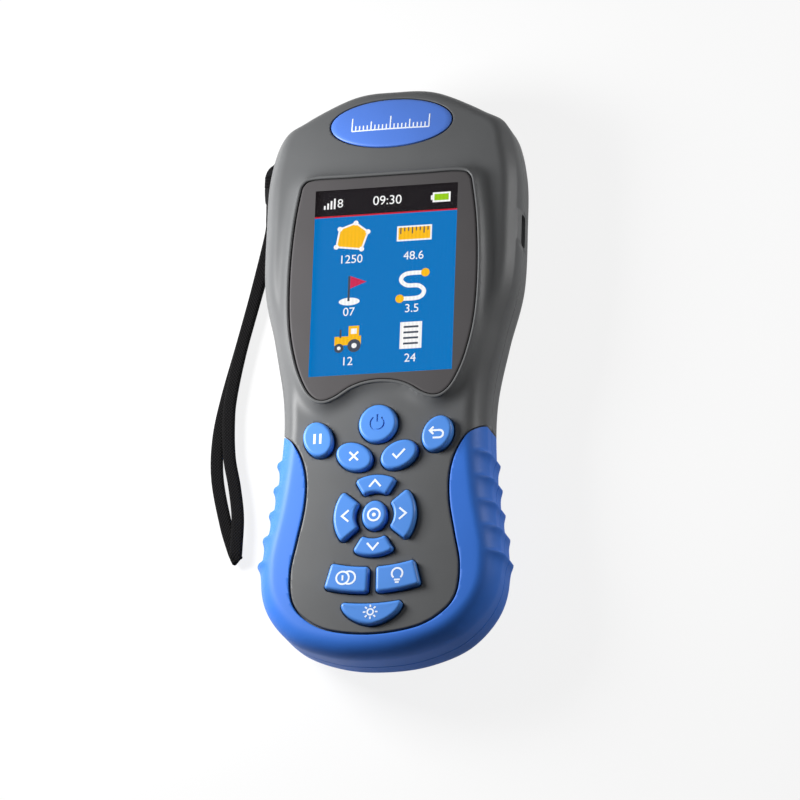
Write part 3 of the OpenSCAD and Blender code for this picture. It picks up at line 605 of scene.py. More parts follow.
def soft_box(width, length, radius, steps=14):
    """A rectangle with round corners and points along its two level edges."""
    x, y = width / 2 - radius, length / 2 - radius
    edge = np.linspace(x, -x, steps)[1:-1, None]
    level = np.full_like(edge, length / 2)
    return np.concatenate([
        corner(x, y, radius, 0),
        np.hstack([edge, level]),
        corner(-x, y, radius, 90),
        corner(-x, -y, radius, 180),
        np.hstack([-edge, -level]),
        corner(x, -y, radius, 270),
    ])


def bent(points, radius):
    """Points wrapped round a circle, whose top is where they were."""
    angle, reach = points[:, 0] / radius, radius + points[:, 1]
    return pairs(reach * np.sin(angle), reach * np.cos(angle))


def ring_key(low_r, degrees):
    """A key that fills part of the round pad, from an inner radius out to its edge."""
    middle = (low_r + ring_r) / 2
    return bent(soft_box(middle * math.radians(degrees), ring_r - low_r, 1), middle)


moon_bend = 1.2


def swung(values, power):
    """Values raised to a power, with their signs kept."""
    return np.sign(values) * np.abs(values) ** power


def half_moon(width, length, sag, radius):
    """A key with a dished top edge and two sides that swing down to a round foot."""
    x = width / 2 - radius
    edge = np.linspace(1, -1, 16)[1:-1]
    angle = np.radians(np.linspace(180, 360, 34)[1:-1])
    return np.concatenate([
        corner(x, -radius, radius, 0),
        pairs(edge * x, sag * (edge**2 - 1)),
        corner(-x, -radius, radius, 90),
        pairs(
            width / 2 * swung(np.cos(angle), moon_bend),
            (length - radius) * swung(np.sin(angle), moon_bend) - radius,
        ),
    ])


def mirrored(points):
    return points[::-1] * (-1, 1)


pad_at = np.array((0, pad_y))
pause_shape = oval(3.7, 4.7, 24, (-15.2, pad_y + 20.4))
delete_shape = oval(4.9, 3.5, -25, (-5.7, pad_y + 15.4))
price_shape = turned(bent(soft_box(10.6, 6.7, 0.9), -43.5), -8.2) + (0, pad_y + 27)
key_shapes = {
    "power": oval(4.9, 4.9, 0, (0, pad_y + 23.7)),
    "pause": pause_shape,
    "return": mirrored(pause_shape),
    "delete": delete_shape,
    "save": mirrored(delete_shape),
    "up": ring_key(5.9, 61) + pad_at,
    "left": turned(ring_key(4.9, 78), 90) + pad_at,
    "right": turned(ring_key(4.9, 78), -90) + pad_at,
    "down": turned(ring_key(5.9, 61), 180) + pad_at,
    "enter": oval(3.2, 3.8, 0, pad_at),
    "price": price_shape,
    "lamp": mirrored(price_shape),
    "dimmer": half_moon(15.4, 6, 0.45, 0.9) + (0, foot_y + 13.45),
}

badge_y = top_y - 9.7
badge_a, badge_b = 15.7, 6.6
badge_shape = oval(badge_a, badge_b, 0, (0, badge_y), 96)


def case_half(name, skin, holes, node, *more):
    """A half of the clamshell: its skin with all openings cut, and the CAD's ribs and posts inside."""
    for cutter in (joined(*holes), grip_zone(0, -grip_lip), side_cuts()):
        skin = boolean(skin, cutter, "DIFFERENCE")
    piece(name, joined(skin, *more, core_of(node)), housing_grey, "housing", [node])


skin = loft(front_rings(0, 64, 10, rim=True) + front_rings(outer_skin, 30, 8)[::-1])
face_holes = [flared(grown(shape, key_gap)) for shape in key_shapes.values()]
face_holes.append(flared(grown(badge_shape, badge_gap)))
face_holes.append(loft([raised(grown(lens_outline, lip_w), z) for z in (split_z, over_z)], capped=True))
lip_overlap, lip_dome, lip_foot = 0.2, 0.35, -2.2
lip_r = (lip_w + lip_overlap - lens_gap) / 2
lip_section = [(lens_gap, lip_foot)]
for turn in np.linspace(0, math.pi, 11):
    lip_section.append((lens_gap + lip_r - lip_r * math.cos(turn), lip_dome * (math.sin(turn) - 1)))
lip_section.append((lens_gap + 2 * lip_r, lip_foot))
lip_rings = [raised(grown(lens_outline, out), lip_z + rise) for out, rise in lip_section]
case_half("front_case", skin, face_holes, "front_shell", loft(lip_rings + lip_rings[:1]))

# Rear case: the other half of the clamshell, in the same plastic, with a flat back.
# It has sunk holes for six screws and an opening for the battery door.
screw_places = [
    (side * x, y)
    for side in (-1, 1)
    for x, y in ((head_x - 7.2, top_y - 21), (neck_x - 5.2, foot_y + 64), (grip_x - 13.6, foot_y + 12.4))
]
screw_hole_r = 2.5
door_y = foot_y + 42
door_w, door_l, door_corner = 32.8, 52.4, 2
door_gap = 0.3
back_cut = (-2, 6)


def door_shape(gap):
    return soft_box(door_w + 2 * gap, door_l + 2 * gap, door_corner + gap) + (0, door_y)


skin = loft(rear_rings(0, 16, 16) + rear_rings(outer_skin, 10, 8)[::-1])
back_holes = [rod(screw_hole_r, *[(x, y, z) for z in back_cut]) for x, y in screw_places]
back_holes.append(loft([raised(door_shape(door_gap), z) for z in back_cut], capped=True))
case_half("rear_case", skin, back_holes, "rear_shell")

# Soft grip: blue rubber moulded over the lower end of both case halves, with finger ribs down its sides.
# A thin groove parts it from the grey field that holds the keys.
groove, grip_t = 0.35, 1.75
rib_ys = [foot_y + 51.5 - 6.45 * k for k in range(5)]
rib_h, rib_slant, rib_tail = 1.1, 0.05, 0.1
rib_upper, rib_lower = 0.55, 1.3
rib_front_z, rib_front_fade = 20.4, 2.5
rib_back_z, rib_back_fade = 3.4, 4.5
rib_from, rib_fade = 0.8, 0.12
ribs_low, ribs_high, dense_high = foot_y + 20, foot_y + 57, foot_y + 70
rib_fine, grip_fine = 5, 3


def denser(rings):
    """Rings with more points in each step over the grip, and most where the finger ribs are."""
    y = (body_outline[:, 1] + np.roll(body_outline[:, 1], -1)) / 2
    in_ribs = (y > ribs_low) & (y < ribs_high)
    parts = np.where(in_ribs, rib_fine, np.where(y < dense_high, grip_fine, 1))
    fine = np.concatenate([i + np.arange(n) / n for i, n in enumerate(parts)])
    low = fine.astype(int)
    share = (fine - low)[:, None]
    return [ring[low] * (1 - share) + np.roll(ring, -1, axis=0)[low] * share for ring in rings]


def ribbed(rings):
    """Swells rings of the grip's surface where the finger ribs run round its sides."""
    normal = denser([outward(body_outline)])[0]
    swollen = []
    for ring in denser(rings):
        across = np.abs(ring[:, 0]) / np.maximum(side_reach(ring[:, 1]), 1)
        depth = ramp(-ring[:, 2], -rib_front_z, rib_front_fade) * ramp(ring[:, 2], rib_back_z, rib_back_fade)
        level = ring[:, 1] + rib_slant * (split_z - ring[:, 2])
        swell = 0
        for y in rib_ys:
            off = (level - y) / np.where(level > y, rib_upper, rib_lower)
            swell = swell + ramp(1 / (1 + off**2), rib_tail, 1 - rib_tail)
        out = rib_h * swell * ramp(across, rib_from, rib_fade) * depth
        swollen.append(ring + np.column_stack([normal * out[:, None], 0 * out]))
    return swollen


grip_blue = moulded("grip_blue", srgb(50, 110, 204), 0.5, 0.35, 0.02, Specular_IOR_Level=0.25)
for name, node, rings in (
    ("front_grip", "grip_front", lambda *steps: front_rings(*steps, wall_steps=4)),
    ("rear_grip", "grip_rear", rear_rings),
):
    layer = loft(ribbed(rings(0, 36, 16)) + denser(rings(grip_t, 8, 6))[::-1])
    layer = boolean(layer, grip_zone(groove, grip_lip), "INTERSECT")
    piece(name, layer, grip_blue, "housing", [node])

# Keys: thirteen blue moulded caps, each with a flange below the case and a rounded top.
# White signs are printed on them, and the power key has its sign sunk.
key_low, key_high = span("power_key", "z")
flange_w, flange_t = 0.55, 0.75
key_round, key_fall = 0.8, 0.9
key_blue = moulded("key_blue", srgb(72, 132, 212), 0.38, 0.3, 0.012, Specular_IOR_Level=0.35)


def stepped(outline, steps):
    """Rings on an outline, each moved in by its inset and raised to its height."""
    return [raised(grown(outline, -inset), z) for inset, z in steps]


def key_cap(outline, hub):
    """A key from its hidden flange up to its flat top with round edges."""
    steps = [(-flange_w, key_low), (-flange_w, key_low + flange_t), (0, key_low + flange_t)]
    for angle in np.linspace(0, quarter, 9):
        steps.append((key_round * (1 - math.cos(angle)), key_high - key_fall * (1 - math.sin(angle))))
    top = grown(outline, -key_round)
    rings = [raised(hub + 0 * outline, key_low)] + stepped(outline, steps)
    return loft(rings + [raised(between(top, hub, share), key_high) for share in (0.06, 1)])


sign_low, sign_high = key_high - 0.3, key_high + 0.03
stroke, fine_stroke, sunk_stroke, sunk_depth = 0.5, 0.45, 0.42, 0.2
sign_step = 0.004
mitre_least = 0.4


def ribbon(points, width, low, high, closed=False):
    """A flat stroke of even width along a line of points."""
    p = np.asarray(points, float)
    if closed:
        p = np.concatenate([p, p[:2]])
    way = np.diff(p, axis=0)
    side = unit(pairs(-way[:, 1], way[:, 0]))
    before, after = np.concatenate([side[:1], side]), np.concatenate([side, side[-1:]])
    mitre = before + after
    mitre /= np.maximum((mitre * before).sum(axis=1), mitre_least)[:, None]
    if closed:
        p, mitre = np.concatenate([p[1:-1], p[1:2]]), np.concatenate([mitre[1:-1], mitre[1:2]])
    bm = sheet([raised(p - mitre * width / 2, low), raised(p + mitre * width / 2, low)])
    return thickened(bm, high - low)


def patch(points, low, high):
    """A flat filled shape."""
    bm = bmesh.new()
    rim = bmesh.ops.create_circle(bm, cap_ends=True, segments=len(points), radius=1)["verts"]
    for vert, place in zip(rim, points):
        vert.co = (*place, low)
    return thickened(bm, high - low)


def thickened(bm, rise):
    lifted = bmesh.ops.extrude_face_region(bm, geom=bm.faces[:], use_keep_orig=True)["geom"]
    bmesh.ops.translate(bm, vec=(0, 0, rise), verts=[v for v in lifted if isinstance(v, bmesh.types.BMVert)])
    bmesh.ops.recalc_face_normals(bm, faces=bm.faces)
    return bm


def box_points(width, length, at=(0, 0)):
    x, y = width / 2, length / 2
    return np.array([(-x, -y), (x, -y), (x, y), (-x, y)]) + at


def chevron(turn):
    return turned([(-1.45, -0.85), (0, 0.85), (1.45, -0.85)], turn)


key_signs = {
    "pause": ([[(-0.75, -1.3), (-0.75, 1.3)], [(0.75, -1.3), (0.75, 1.3)]], 0.6),
    "return": ([
        np.concatenate([[(-1.7, 0.55)], arc(0.95, 90, -90, (0.75, -0.4)), [(-0.9, -1.35)]]),
        [(-0.75, 1.5), (-1.7, 0.55), (-0.75, -0.4)],
    ], stroke),
    "delete": ([[(-1.1, -1.1), (1.1, 1.1)], [(-1.1, 1.1), (1.1, -1.1)]], stroke),
    "save": ([[(-1.5, 0.1), (-0.45, -1), (1.6, 1.2)]], stroke),
    "up": ([chevron(0)], stroke),
    "left": ([chevron(90)], stroke),
    "right": ([chevron(-90)], stroke),
    "down": ([chevron(180)], stroke),
    "enter": ([arc(1.5, 0, 360), [(0, 0)]], stroke),
    "price": ([
        arc(1.6, 0, 360, (-0.9, 0)),
        arc(1.6, -120, 120, (0.7, 0)),
        [(-0.9, -0.65), (-0.9, 0.65)],
    ], fine_stroke),
    "lamp": ([
        arc(1.35, -50, 230, (0, 0.5)),
        [(-0.75, -1.1), (0.75, -1.1)],
        [(-0.5, -1.75), (0.5, -1.75)],
    ], fine_stroke),
    "dimmer": ([arc(0.75, 0, 360)] + [turned([(1.2, 0), (1.85, 0)], 45 * k) for k in range(8)], 0.4),
}
sign_shift = {"dimmer": (0, 0.15), "up": (0, 0.15), "down": (0, -0.15)}
sign_white = moulded("sign_white", srgb(226, 233, 244), 0.5, 0.3, 0.004)
for name, outline in key_shapes.items():
    node = name + "_key"
    hub = (outline.min(axis=0) + outline.max(axis=0)) / 2
    cap = key_cap(outline, hub)
    if name == "power":
        for line in (arc(1.75, 125, 415, hub), np.array([(0, 0.35), (0, 2.3)]) + hub):
            cap = boolean(cap, ribbon(line, sunk_stroke, key_high - sunk_depth, key_high + 1), "DIFFERENCE")
    piece(node + "_cap", cap, key_blue, node, [node])
    if name in key_signs:
        lines, width = key_signs[name]
        at = hub + sign_shift.get(name, (0, 0))
        strokes = []
        for k, line in enumerate(lines):
            heights = sign_low, sign_high + sign_step * k
            if len(line) > 1:
                strokes.append(ribbon(np.asarray(line) + at, width, *heights))
            else:
                strokes.append(patch(oval(width, width, 0, at + line[0], 24), *heights))
        piece(node + "_sign", joined(*strokes), sign_white, node)

# Display lens: a clear moulded window with a short skirt, which lies flush in the rim.
# A dark border is printed on it round the picture, and black tape under the skirt holds it down.
picture_w, picture_l = 36.8, 49.1
picture_x, picture_y = 0.15, top_y - 52.25
lens_t, skirt_w, tape_inset = 0.9, 1.6, 0.2


def clear(name, tint, alpha, rough):
    """Clear plastic, with faint smears in its gloss."""
    material, wire, shader = surface(name, Base_Color=tint, Alpha=alpha, Specular_IOR_Level=0.6)
    feed(rough + 0.08 * wire.noise(120, 3), shader["Roughness"])
    return material


def framed(outline, x, y, width, length):
    """The points of a rectangle that lie in the same directions as an outline's points, corners kept."""
    way = outline - (x, y)
    reach = np.maximum(np.abs(way[:, 0]) / (width / 2), np.abs(way[:, 1]) / (length / 2))
    edge = (x, y) + way / reach[:, None]
    for place in box_points(width, length, (x, y)):
        edge[np.argmin(np.linalg.norm(edge - place, axis=1))] = place
    return edge


lens_middle = 0 * lens_outline + (picture_x, picture_y)
window_edge = framed(lens_outline, picture_x, picture_y, picture_w, picture_l)
lens_rings = [raised(lens_middle, lens_high_z - lens_t)]
lens_rings += stepped(lens_outline, (
    (skirt_w, lens_high_z - lens_t),
    (skirt_w, lens_low_z),
    (0.15, lens_low_z),
    (0, lens_low_z + 0.15),
    (0, lens_high_z - 0.35),
    (0.1, lens_high_z - 0.12),
    (0.35, lens_high_z),
    (0.6, lens_high_z),
))
lens_rings += [raised(window_edge, lens_high_z), raised(lens_middle, lens_high_z)]
lens_bm = loft(lens_rings)
for face in lens_bm.faces:
    face.material_index = len(face.verts) > 3
lens_clear = clear("lens_clear", (0.02, 0.02, 0.022, 1), 0.03, 0.02)
border_print = moulded("border_print", srgb(72, 70, 71), 0.5, 0.4, 0.003, Specular_IOR_Level=0.12)
lens = piece("lens", lens_bm, lens_clear, "housing", ["screen_lens"])
lens.data.materials.append(border_print)

tape_black = moulded("tape_black", srgb(24, 24, 25), 0.6, 0.4, 0.004)
tape_low, tape_high = span("lens_tape", "z")
tape_rings = stepped(lens_outline, (
    (tape_inset, tape_low), (tape_inset, tape_high), (skirt_w, tape_high), (skirt_w, tape_low),
))
piece("border_tape", loft(tape_rings + tape_rings[:1]), tape_black, "housing", ["lens_tape"])

# Display: a lit colour panel that stands up into the lens, with a dark bar and a red line along its top.
# The bar has signal bars, a clock and a battery; the blue field has three rows of two signs over numbers.
panel_z = lens_high_z - lens_t - 0.15
panel_margin = 0.6
layer_t = 0.02


def lit(name, colour):
    """A glowing colour of the panel, faintly striped by its columns of dots."""
    material, wire, shader = surface(
        name,
        Base_Color=(0.004, 0.004, 0.005, 1),
        Roughness=0.3,
        Specular_IOR_Level=0.0,
        Emission_Strength=1.06,
    )
    dots = wire.node("ShaderNodeTexWave", {"bands_direction": "X"}, {"Vector": wire.here(), "Scale": 320.0})
    feed(wire.tone(dots, colour, 0.93, 1.03), shader["Emission Color"])
    return material


def numerals(text, size, at, level):
    """Plain figures on one of the layers above the panel."""
    curve = bpy.data.curves.new("numerals", "FONT")
    curve.body = text
    curve.size = size
    curve.align_x = curve.align_y = "CENTER"
    curve.extrude = layer_t / 2
    drawn = linked("numerals", curve)
    bm = shape_of(drawn)
    bpy.data.objects.remove(drawn)
    bpy.data.curves.remove(curve)
    place = (picture_x + at[0], picture_y + at[1], panel_z + (level + 0.5) * layer_t)
    bmesh.ops.translate(bm, vec=place, verts=bm.verts)
    return bm


def placed(points, level):
    """Points from the picture's middle, and the heights of a layer."""
    low = panel_z + level * layer_t
    return np.asarray(points, float) + (picture_x, picture_y), low, low + layer_t


def slab(width, length, at, level):
    return patch(*placed(box_points(width, length, at), level))


def disc(a, b, at, level, steps=16):
    return patch(*placed(oval(a, b, 0, at, steps), level))


def drawn_line(points, width, level, closed=False):
    points, low, high = placed(points, level)
    return ribbon(points, width, low, high, closed)


panel_w, panel_l = picture_w + 2 * panel_margin, picture_l + 2 * panel_margin
bar_l, line_l = 6.5, 0.4
bar_y = (picture_l - bar_l) / 2
line_y = (picture_l - line_l) / 2 - bar_l
battery_x = 14
columns, rows = (-8.9, 7.3), (12.2, -1.7, -14.7)
caption_drop, caption_size = 6, 3.1
captions = ("1250", "48.6", "07", "3.5", "12", "24")
sign_places = [np.array((x, y)) for y in rows for x in columns]
plot_at, ruler_at, flag_at, route_at, tractor_at, list_at = sign_places
plot = np.array([(-3.9, -2.5), (2.7, -3.4), (4.2, 1.1), (1, 3.6), (-3.1, 2.2)]) + plot_at
pennant = np.array([(0.1, 0.2), (4.3, 1.8), (0.1, 3.5)]) + flag_at
route = spline(np.array([
    (3.2, 3.3), (-1.6, 3.2), (-3, 1.7), (-1.5, 0.2), (1.6, -0.1), (3, -1.6), (1.6, -3.2), (-3.2, -3.3),
]) + route_at, 8, closed=False)
wheels = [(1.7, tractor_at + (1.7, -1.9)), (1.2, tractor_at + (-2.2, -2.4))]
picture = {
    "screen_field": (srgb(2, 117, 192), [slab(panel_w, panel_l, (0, 0), 0)]),
    "screen_bar": (srgb(26, 22, 24), [
        slab(panel_w, bar_l + panel_margin, (0, bar_y + panel_margin / 2), 1),
    ]),
    "screen_line": (srgb(200, 30, 48), [slab(panel_w, line_l, (0, line_y), 1)]),
    "screen_white": (srgb(250, 250, 250), [
        *[slab(0.45, 1 + 0.6 * k, (-16.2 + 0.85 * k, bar_y - 0.9 + 0.3 * k), 2) for k in range(4)],
        slab(4.6, 2.6, (battery_x, bar_y), 2),
        slab(0.5, 1.2, (battery_x - 2.5, bar_y), 2),
        numerals("09:30", 3.4, (0, bar_y), 2),
        numerals("8", 3.2, (-12.2, bar_y - 0.1), 2),
        *[numerals(text, caption_size, at - (0, caption_drop), 2) for text, at in zip(captions, sign_places)],
        drawn_line(plot, 0.45, 3, closed=True),
        *[disc(0.65, 0.65, at, 4) for at in plot],
        slab(9, 4, ruler_at, 2),
        disc(2.7, 1, flag_at - (0, 3.2), 2, 32),
        drawn_line(route, 1.1, 2),
        slab(1.5, 1.4, tractor_at + (1.5, 1.9), 4),
        *[disc(0.4 * reach, 0.4 * reach, at, 5) for reach, at in wheels],
        slab(5.6, 7, list_at, 2),
    ]),
    "screen_green": (srgb(150, 205, 20), [slab(3.7, 1.7, (battery_x, bar_y), 3)]),
    "screen_yellow": (srgb(252, 190, 24), [
        patch(*placed(plot, 2)),
        slab(8.2, 3.2, ruler_at, 3),
        *[disc(1.1, 1.1, end, 3, 24) for end in (route[0], route[-1])],
        slab(6.8, 2.3, tractor_at - (0, 0.5), 2),
        slab(2.7, 3.2, tractor_at + (1.5, 1.7), 3),
    ]),
    "screen_grey": (srgb(70, 78, 92), [
        *[
            slab(0.3, tick, ruler_at + (-3.5 + k, 1.6 - tick / 2), 4)
            for k, tick in enumerate((1.7, 1, 1, 1.7, 1, 1, 1.7, 1))
        ],
        slab(0.55, 6.6, flag_at + (-0.2, 0.2), 3),
        *[disc(reach, reach, at, 4, 32) for reach, at in wheels],
        slab(0.5, 2.2, tractor_at + (-1.9, 1.4), 3),
        *[slab(3.8, 0.5, list_at + (0, 2.2 - 1.45 * k), 3) for k in range(4)],
    ]),
    "screen_red": (srgb(206, 44, 84), [patch(*placed(pennant, 3))]),
}
for name, (colour, shapes) in picture.items():
    piece(name, joined(*shapes), lit(name, colour), "housing")

# Badge: an oval plate of blue printed film over plastic, glued in its own sunk place in the head.
# A plain white measuring scale is printed on it.
badge_proud, badge_t, badge_dome = 0.15, 1, 0.25
badge_rim = ((0, badge_t), (0, 0.35), (0.08, 0.14), (0.3, 0.02))


def badge_height(p):
    share = (p[..., 0] / badge_a) ** 2 + ((p[..., 1] - badge_y) / badge_b) ** 2
    return face_height(p) + badge_proud + badge_dome * np.clip(1 - share, 0, 1)


badge_middle = 0 * badge_shape + (0, badge_y)
badge_steps = [(badge_middle, badge_t)]
badge_steps += [(grown(badge_shape, -inset), drop) for inset, drop in badge_rim]
badge_steps += [(between(badge_shape, badge_middle, share), 0) for share in np.linspace(0.1, 1, 10)]
badge_rings = [raised(p, badge_height(p) - drop) for p, drop in badge_steps]
badge_blue = moulded("badge_blue", srgb(76, 117, 202), 0.35, 0.25, 0.006, Specular_IOR_Level=0.3)
piece("badge", loft(badge_rings), badge_blue, "housing", ["badge_plate"])

scale_w, scale_y = 20, badge_y - 1.9
scale_stroke, scale_t = 0.32, 0.04
ticks, tick_points = 21, 7


def printed(bm):
    """Lays a flat print on the badge's curved top."""
    for vert in bm.verts:
        vert.co.z += badge_height(np.array(vert.co[:2]))
    return bm


scale_xs = np.linspace(-scale_w / 2, scale_w / 2, 2 * ticks - 1)
scale_lines = [pairs(scale_xs, np.full(len(scale_xs), scale_y))]
for k in range(ticks):
    x = scale_w * (k / (ticks - 1) - 0.5)
    tall = 3.6 if k % 10 == 0 else 2.4 if k % 5 == 0 else 1.4
    scale_lines.append(pairs(np.full(tick_points, x), scale_y + np.linspace(0, tall, tick_points)))
scale_print = joined(*[printed(ribbon(line, scale_stroke, 0, scale_t)) for line in scale_lines])
piece("badge_scale", scale_print, sign_white, "housing")

# Battery door: a flat snap-in lid in the case's plastic, sunk a little in the back.
# It has a clip at each end and six ribs for the thumb, moulded in one piece with it.
door_low, door_high = span("battery_door", "z")
lid_z = door_low + 1.7
clip_x, clip_y, clip_off = 4, 0.55, 24.15
thumb_x, thumb_y, thumb_from, thumb_pitch = 7, 0.4, 12, 1.8
lid_middle = 0 * door_shape(0) + (0, door_y)
lid_rings = [raised(lid_middle, lid_z)]
lid_rings += stepped(door_shape(0), (
    (0.1, lid_z),
    (0, lid_z - 0.1),
    (0, door_low + 0.4),
    (0.12, door_low + 0.12),
    (0.4, door_low),
    (0.8, door_low),
))
lid = [loft(lid_rings + [raised(lid_middle, door_low)])]
for y in (door_y - clip_off, door_y + clip_off):
    lid.append(block((-clip_x, y - clip_y, lid_z - 0.2), (clip_x, y + clip_y, door_high), 0.2))
for k in range(6):
    x, y = thumb_x - 0.5 * k, door_y + thumb_from + thumb_pitch * k
    lid.append(block((-x, y - thumb_y, door_low - 0.25), (x, y + thumb_y, door_low + 0.2), 0.18))
piece("battery_lid", joined(*lid), housing_grey, "battery_door", ["battery_door"])

# Case screws: six plated steel screws with cross slots in their pan heads.
# They sit deep in the back's holes and hold the two case halves together.
screw_low, screw_high = span("case_screws", "z")
head_r, head_t, head_edge = 2.15, 1.6, 0.45
shank_r, shank_edge = 1.05, 0.2
slot_wide, slot_long, slot_deep = 0.35, 1.35, 0.9


def metal(name, colour, rough, streak):
    """Bare or plated metal with fine drawn marks and faint stains."""
    material, wire, shader = surface(name, Metallic=1.0)
    drawn = wire.node("ShaderNodeMapping", {}, {"Vector": wire.here(), "Scale": (300, 6000, 300)})
    feed(wire.tone(wire.noise(400, 2), colour, 0.85, 1), shader["Base Color"])
    feed(rough + streak * (wire.noise(1.0, 2, drawn) - 0.5), shader["Roughness"])
    return material


screw_steel = metal("screw_steel", srgb(190, 190, 194), 0.32, 0.2)
screws = []
for x, y in screw_places:
    head = rod(head_r, (x, y, screw_low), (x, y, screw_low + head_t), edge=head_edge)
    for wide, long in ((slot_wide, slot_long), (slot_long, slot_wide)):
        slot = block((x - wide, y - long, screw_low - 1), (x + wide, y + long, screw_low + slot_deep))
        head = boolean(head, slot, "DIFFERENCE")
    shank_low, shank_high = (x, y, screw_low + head_t - 0.1), (x, y, screw_high)
    screws += [head, rod(shank_r, shank_low, shank_high, edge=shank_edge, sides=24)]
piece("screws", joined(*screws), screw_steel, "housing", ["case_screws"])

# Lamp lens: a short clear plastic plug in the top end, in front of the lamp.
# It has a rounded rim, and the two case halves hold it between them.
plug_r, plug_edge, plug_sunk = 2.48, 0.3, 0.1
lamp_clear = clear("lamp_clear", (0.8, 0.84, 0.88, 1), 0.35, 0.1)
plug_low, plug_high = (place * TO_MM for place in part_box("lamp_lens"))
plug = rod(plug_r, (0, plug_low.y, split_z), (0, plug_high.y - plug_sunk, split_z), "Y", edge=plug_edge)
piece("lamp_plug", plug, lamp_clear, "housing", ["lamp_lens"])

# Strap lug: a black plastic guard with an eye for the strap, on a seat held between the case halves.
# Its outer side has a shallow recess, where the strap's sewn tab goes round the bar.
black_plastic = moulded("black_plastic", srgb(16, 16, 17), 0.55, 0.3, 0.01, Specular_IOR_Level=0.06)
lug_low, lug_high = span("strap_lug", "z")
lug_bar_x = span("strap_lug", "x")[0]
bar_x, bar_z = 1.5, lug_high - lug_low
tab_t = 0.4
eye_half, recess_half = 2.2, 1.7


def softened(node, edge):
    """A CAD piece with its edges broken."""
    bm = cad_copy(node)
    bmesh.ops.dissolve_limit(bm, angle_limit=math.radians(2), verts=bm.verts, edges=bm.edges)
    return bevelled(bm, bm.edges[:], edge)


def lug_block(low_x, high_x, half):
    """A cutter over the lug's whole height, from the bar's outer side inwards."""
    return block(
        (lug_bar_x + low_x, lug_y - half, lug_low - 1),
        (lug_bar_x + high_x, lug_y + half, lug_high + 1),
    )


guard_shape = spline([(lug_bar_x + x, lug_y + y) for x, y in (
    (2.5, 4.8), (1.5, 4.5), (0.3, 3.4), (-tab_t, 1.5), (-tab_t, -2), (-0.1, -5.3),
    (0.5, -6.1), (1.6, -6.2), (2.3, -5.6), (2.5, 0),
)], 8)
guard = loft(stepped(guard_shape, (
    (0.5, lug_low), (0.15, lug_low + 0.15), (0, lug_low + 0.5),
    (0, lug_high - 0.5), (0.15, lug_high - 0.15), (0.5, lug_high),
)), capped=True)
for opening in (lug_block(bar_x, 9, eye_half), lug_block(-1, 0, recess_half)):
    guard = boolean(guard, opening, "DIFFERENCE")
seat = boolean(softened("strap_lug", 0.3), lug_block(bar_x, 20, 9), "INTERSECT")
piece("lug", joined(seat, guard), black_plastic, "housing", ["strap_lug"])

# Wrist strap: a flat black nylon braid, sewn into a loop at the tab and lying beside the meter.
# The tab is a short band of the same nylon, sewn round the lug's bar.
strap_w, strap_t, strap_sides = 3.2, 1.4, 24
strand = 0.85
inner_x = lug_bar_x + bar_x - 0.2
outer_x = inner_x - strap_t - 0.1
tab_z = span("strap_tab", "z")[0]
hang_z, lie_z = tab_z - 1.4, 1
strap_route = np.array([
    (inner_x, lug_y, tab_z), (inner_x, lug_y, hang_z), (-33.4, 53.2, 5.4), (-34, 51.2, 2.9),
    (-34.9, 48, 1.3), (-35.9, 44, 0.8), (-39.1, 31, 0.8), (-42.8, 15.5, 0.8), (-46.3, 1, 0.8),
    (-48, -9.5, 0.8), (-47.8, -20, 0.8), (-45.1, -32, 0.8), (-42.8, -39, 0.8), (-41.9, -41, 1),
    (-41.7, -41.7, 1.7), (-41.6, -41, 2.4), (-41.5, -39, 2.5), (-41.5, -31, 2.4), (-42.7, -23, 2.3),
    (-44.4, -15, 2.3), (-45, -6, 2.3), (-44.7, 1, 2.3), (-42.7, 13, 2.3), (-39.3, 28, 2.3),
    (-36.1, 43.5, 2.4), (-35.7, 48, 2.9), (-35.4, 51.2, 4.4), (-35, 53.2, 6.3),
    (outer_x, lug_y, hang_z), (outer_x, lug_y, tab_z),
])


def evenly(points, count):
    """The same line with points at even distances."""
    travel = np.concatenate([[0], np.cumsum(np.linalg.norm(np.diff(points, axis=0), axis=1))])
    places = np.linspace(0, travel[-1], count)
    return np.stack([np.interp(places, travel, axis) for axis in points.T], axis=1)


def length_of(points):
    return np.linalg.norm(np.diff(points, axis=0), axis=1).sum()


strap_line = evenly(spline(strap_route, 40, closed=False), 321)
strap_length = length_of(strap_line)
last = len(strap_line) - 1
way = unit(np.gradient(strap_line, axis=0))
down = ramp(strap_line[:, 2], lie_z, tab_z - lie_z)[:, None] ** 2
side = np.where(np.arange(last + 1) > last / 2, -1, 1)[:, None]
flat = unit(np.cross((1 - down) * side * (0, 0, 1) + down * side * (-1, 0, 0), way))
thick = np.cross(way, flat)
angle = np.linspace(0, 2 * math.pi, 241)
section = pairs(strap_w / 2 * swung(np.cos(angle), 0.5), strap_t / 2 * swung(np.sin(angle), 0.6))
girth = length_of(section)
section = evenly(section, strap_sides + 1)[:-1]
strap_rings = [
    place + section[:, :1] * wide + section[:, 1:] * deep
    for place, wide, deep in zip(strap_line, flat, thick)
]


def plaited(name, colour, coordinates, scale):
    """Nylon braid: small crossing strands, with painted shade darkening the valleys between them and the
    crests painted lighter.
    """
    material, wire, shader = surface(name, Roughness=0.7, Specular_IOR_Level=0.06)
    place = {"Vector": wire.node(*coordinates)}
    across, onward = (
        wire.node("ShaderNodeSeparateXYZ", {}, place, out=out) * share for out, share in scale.items()
    )
    first, second = wire.math("SINE", across + onward), wire.math("SINE", across - onward)
    relief = wire.math("ABSOLUTE", first * second)
    fuzz = wire.noise(4000, 2)
    # Painted shade and highlight: the colour goes darker where the strands' relief is low, between them, and
    # lighter on their crests.
    feed(wire.tone(relief * (0.6 + 0.4 * fuzz), colour, 0.35, 1.3), shader["Base Color"])
    feed(wire.bump(relief + 0.2 * fuzz, 0.7, 0.25), shader["Normal"])
    return material


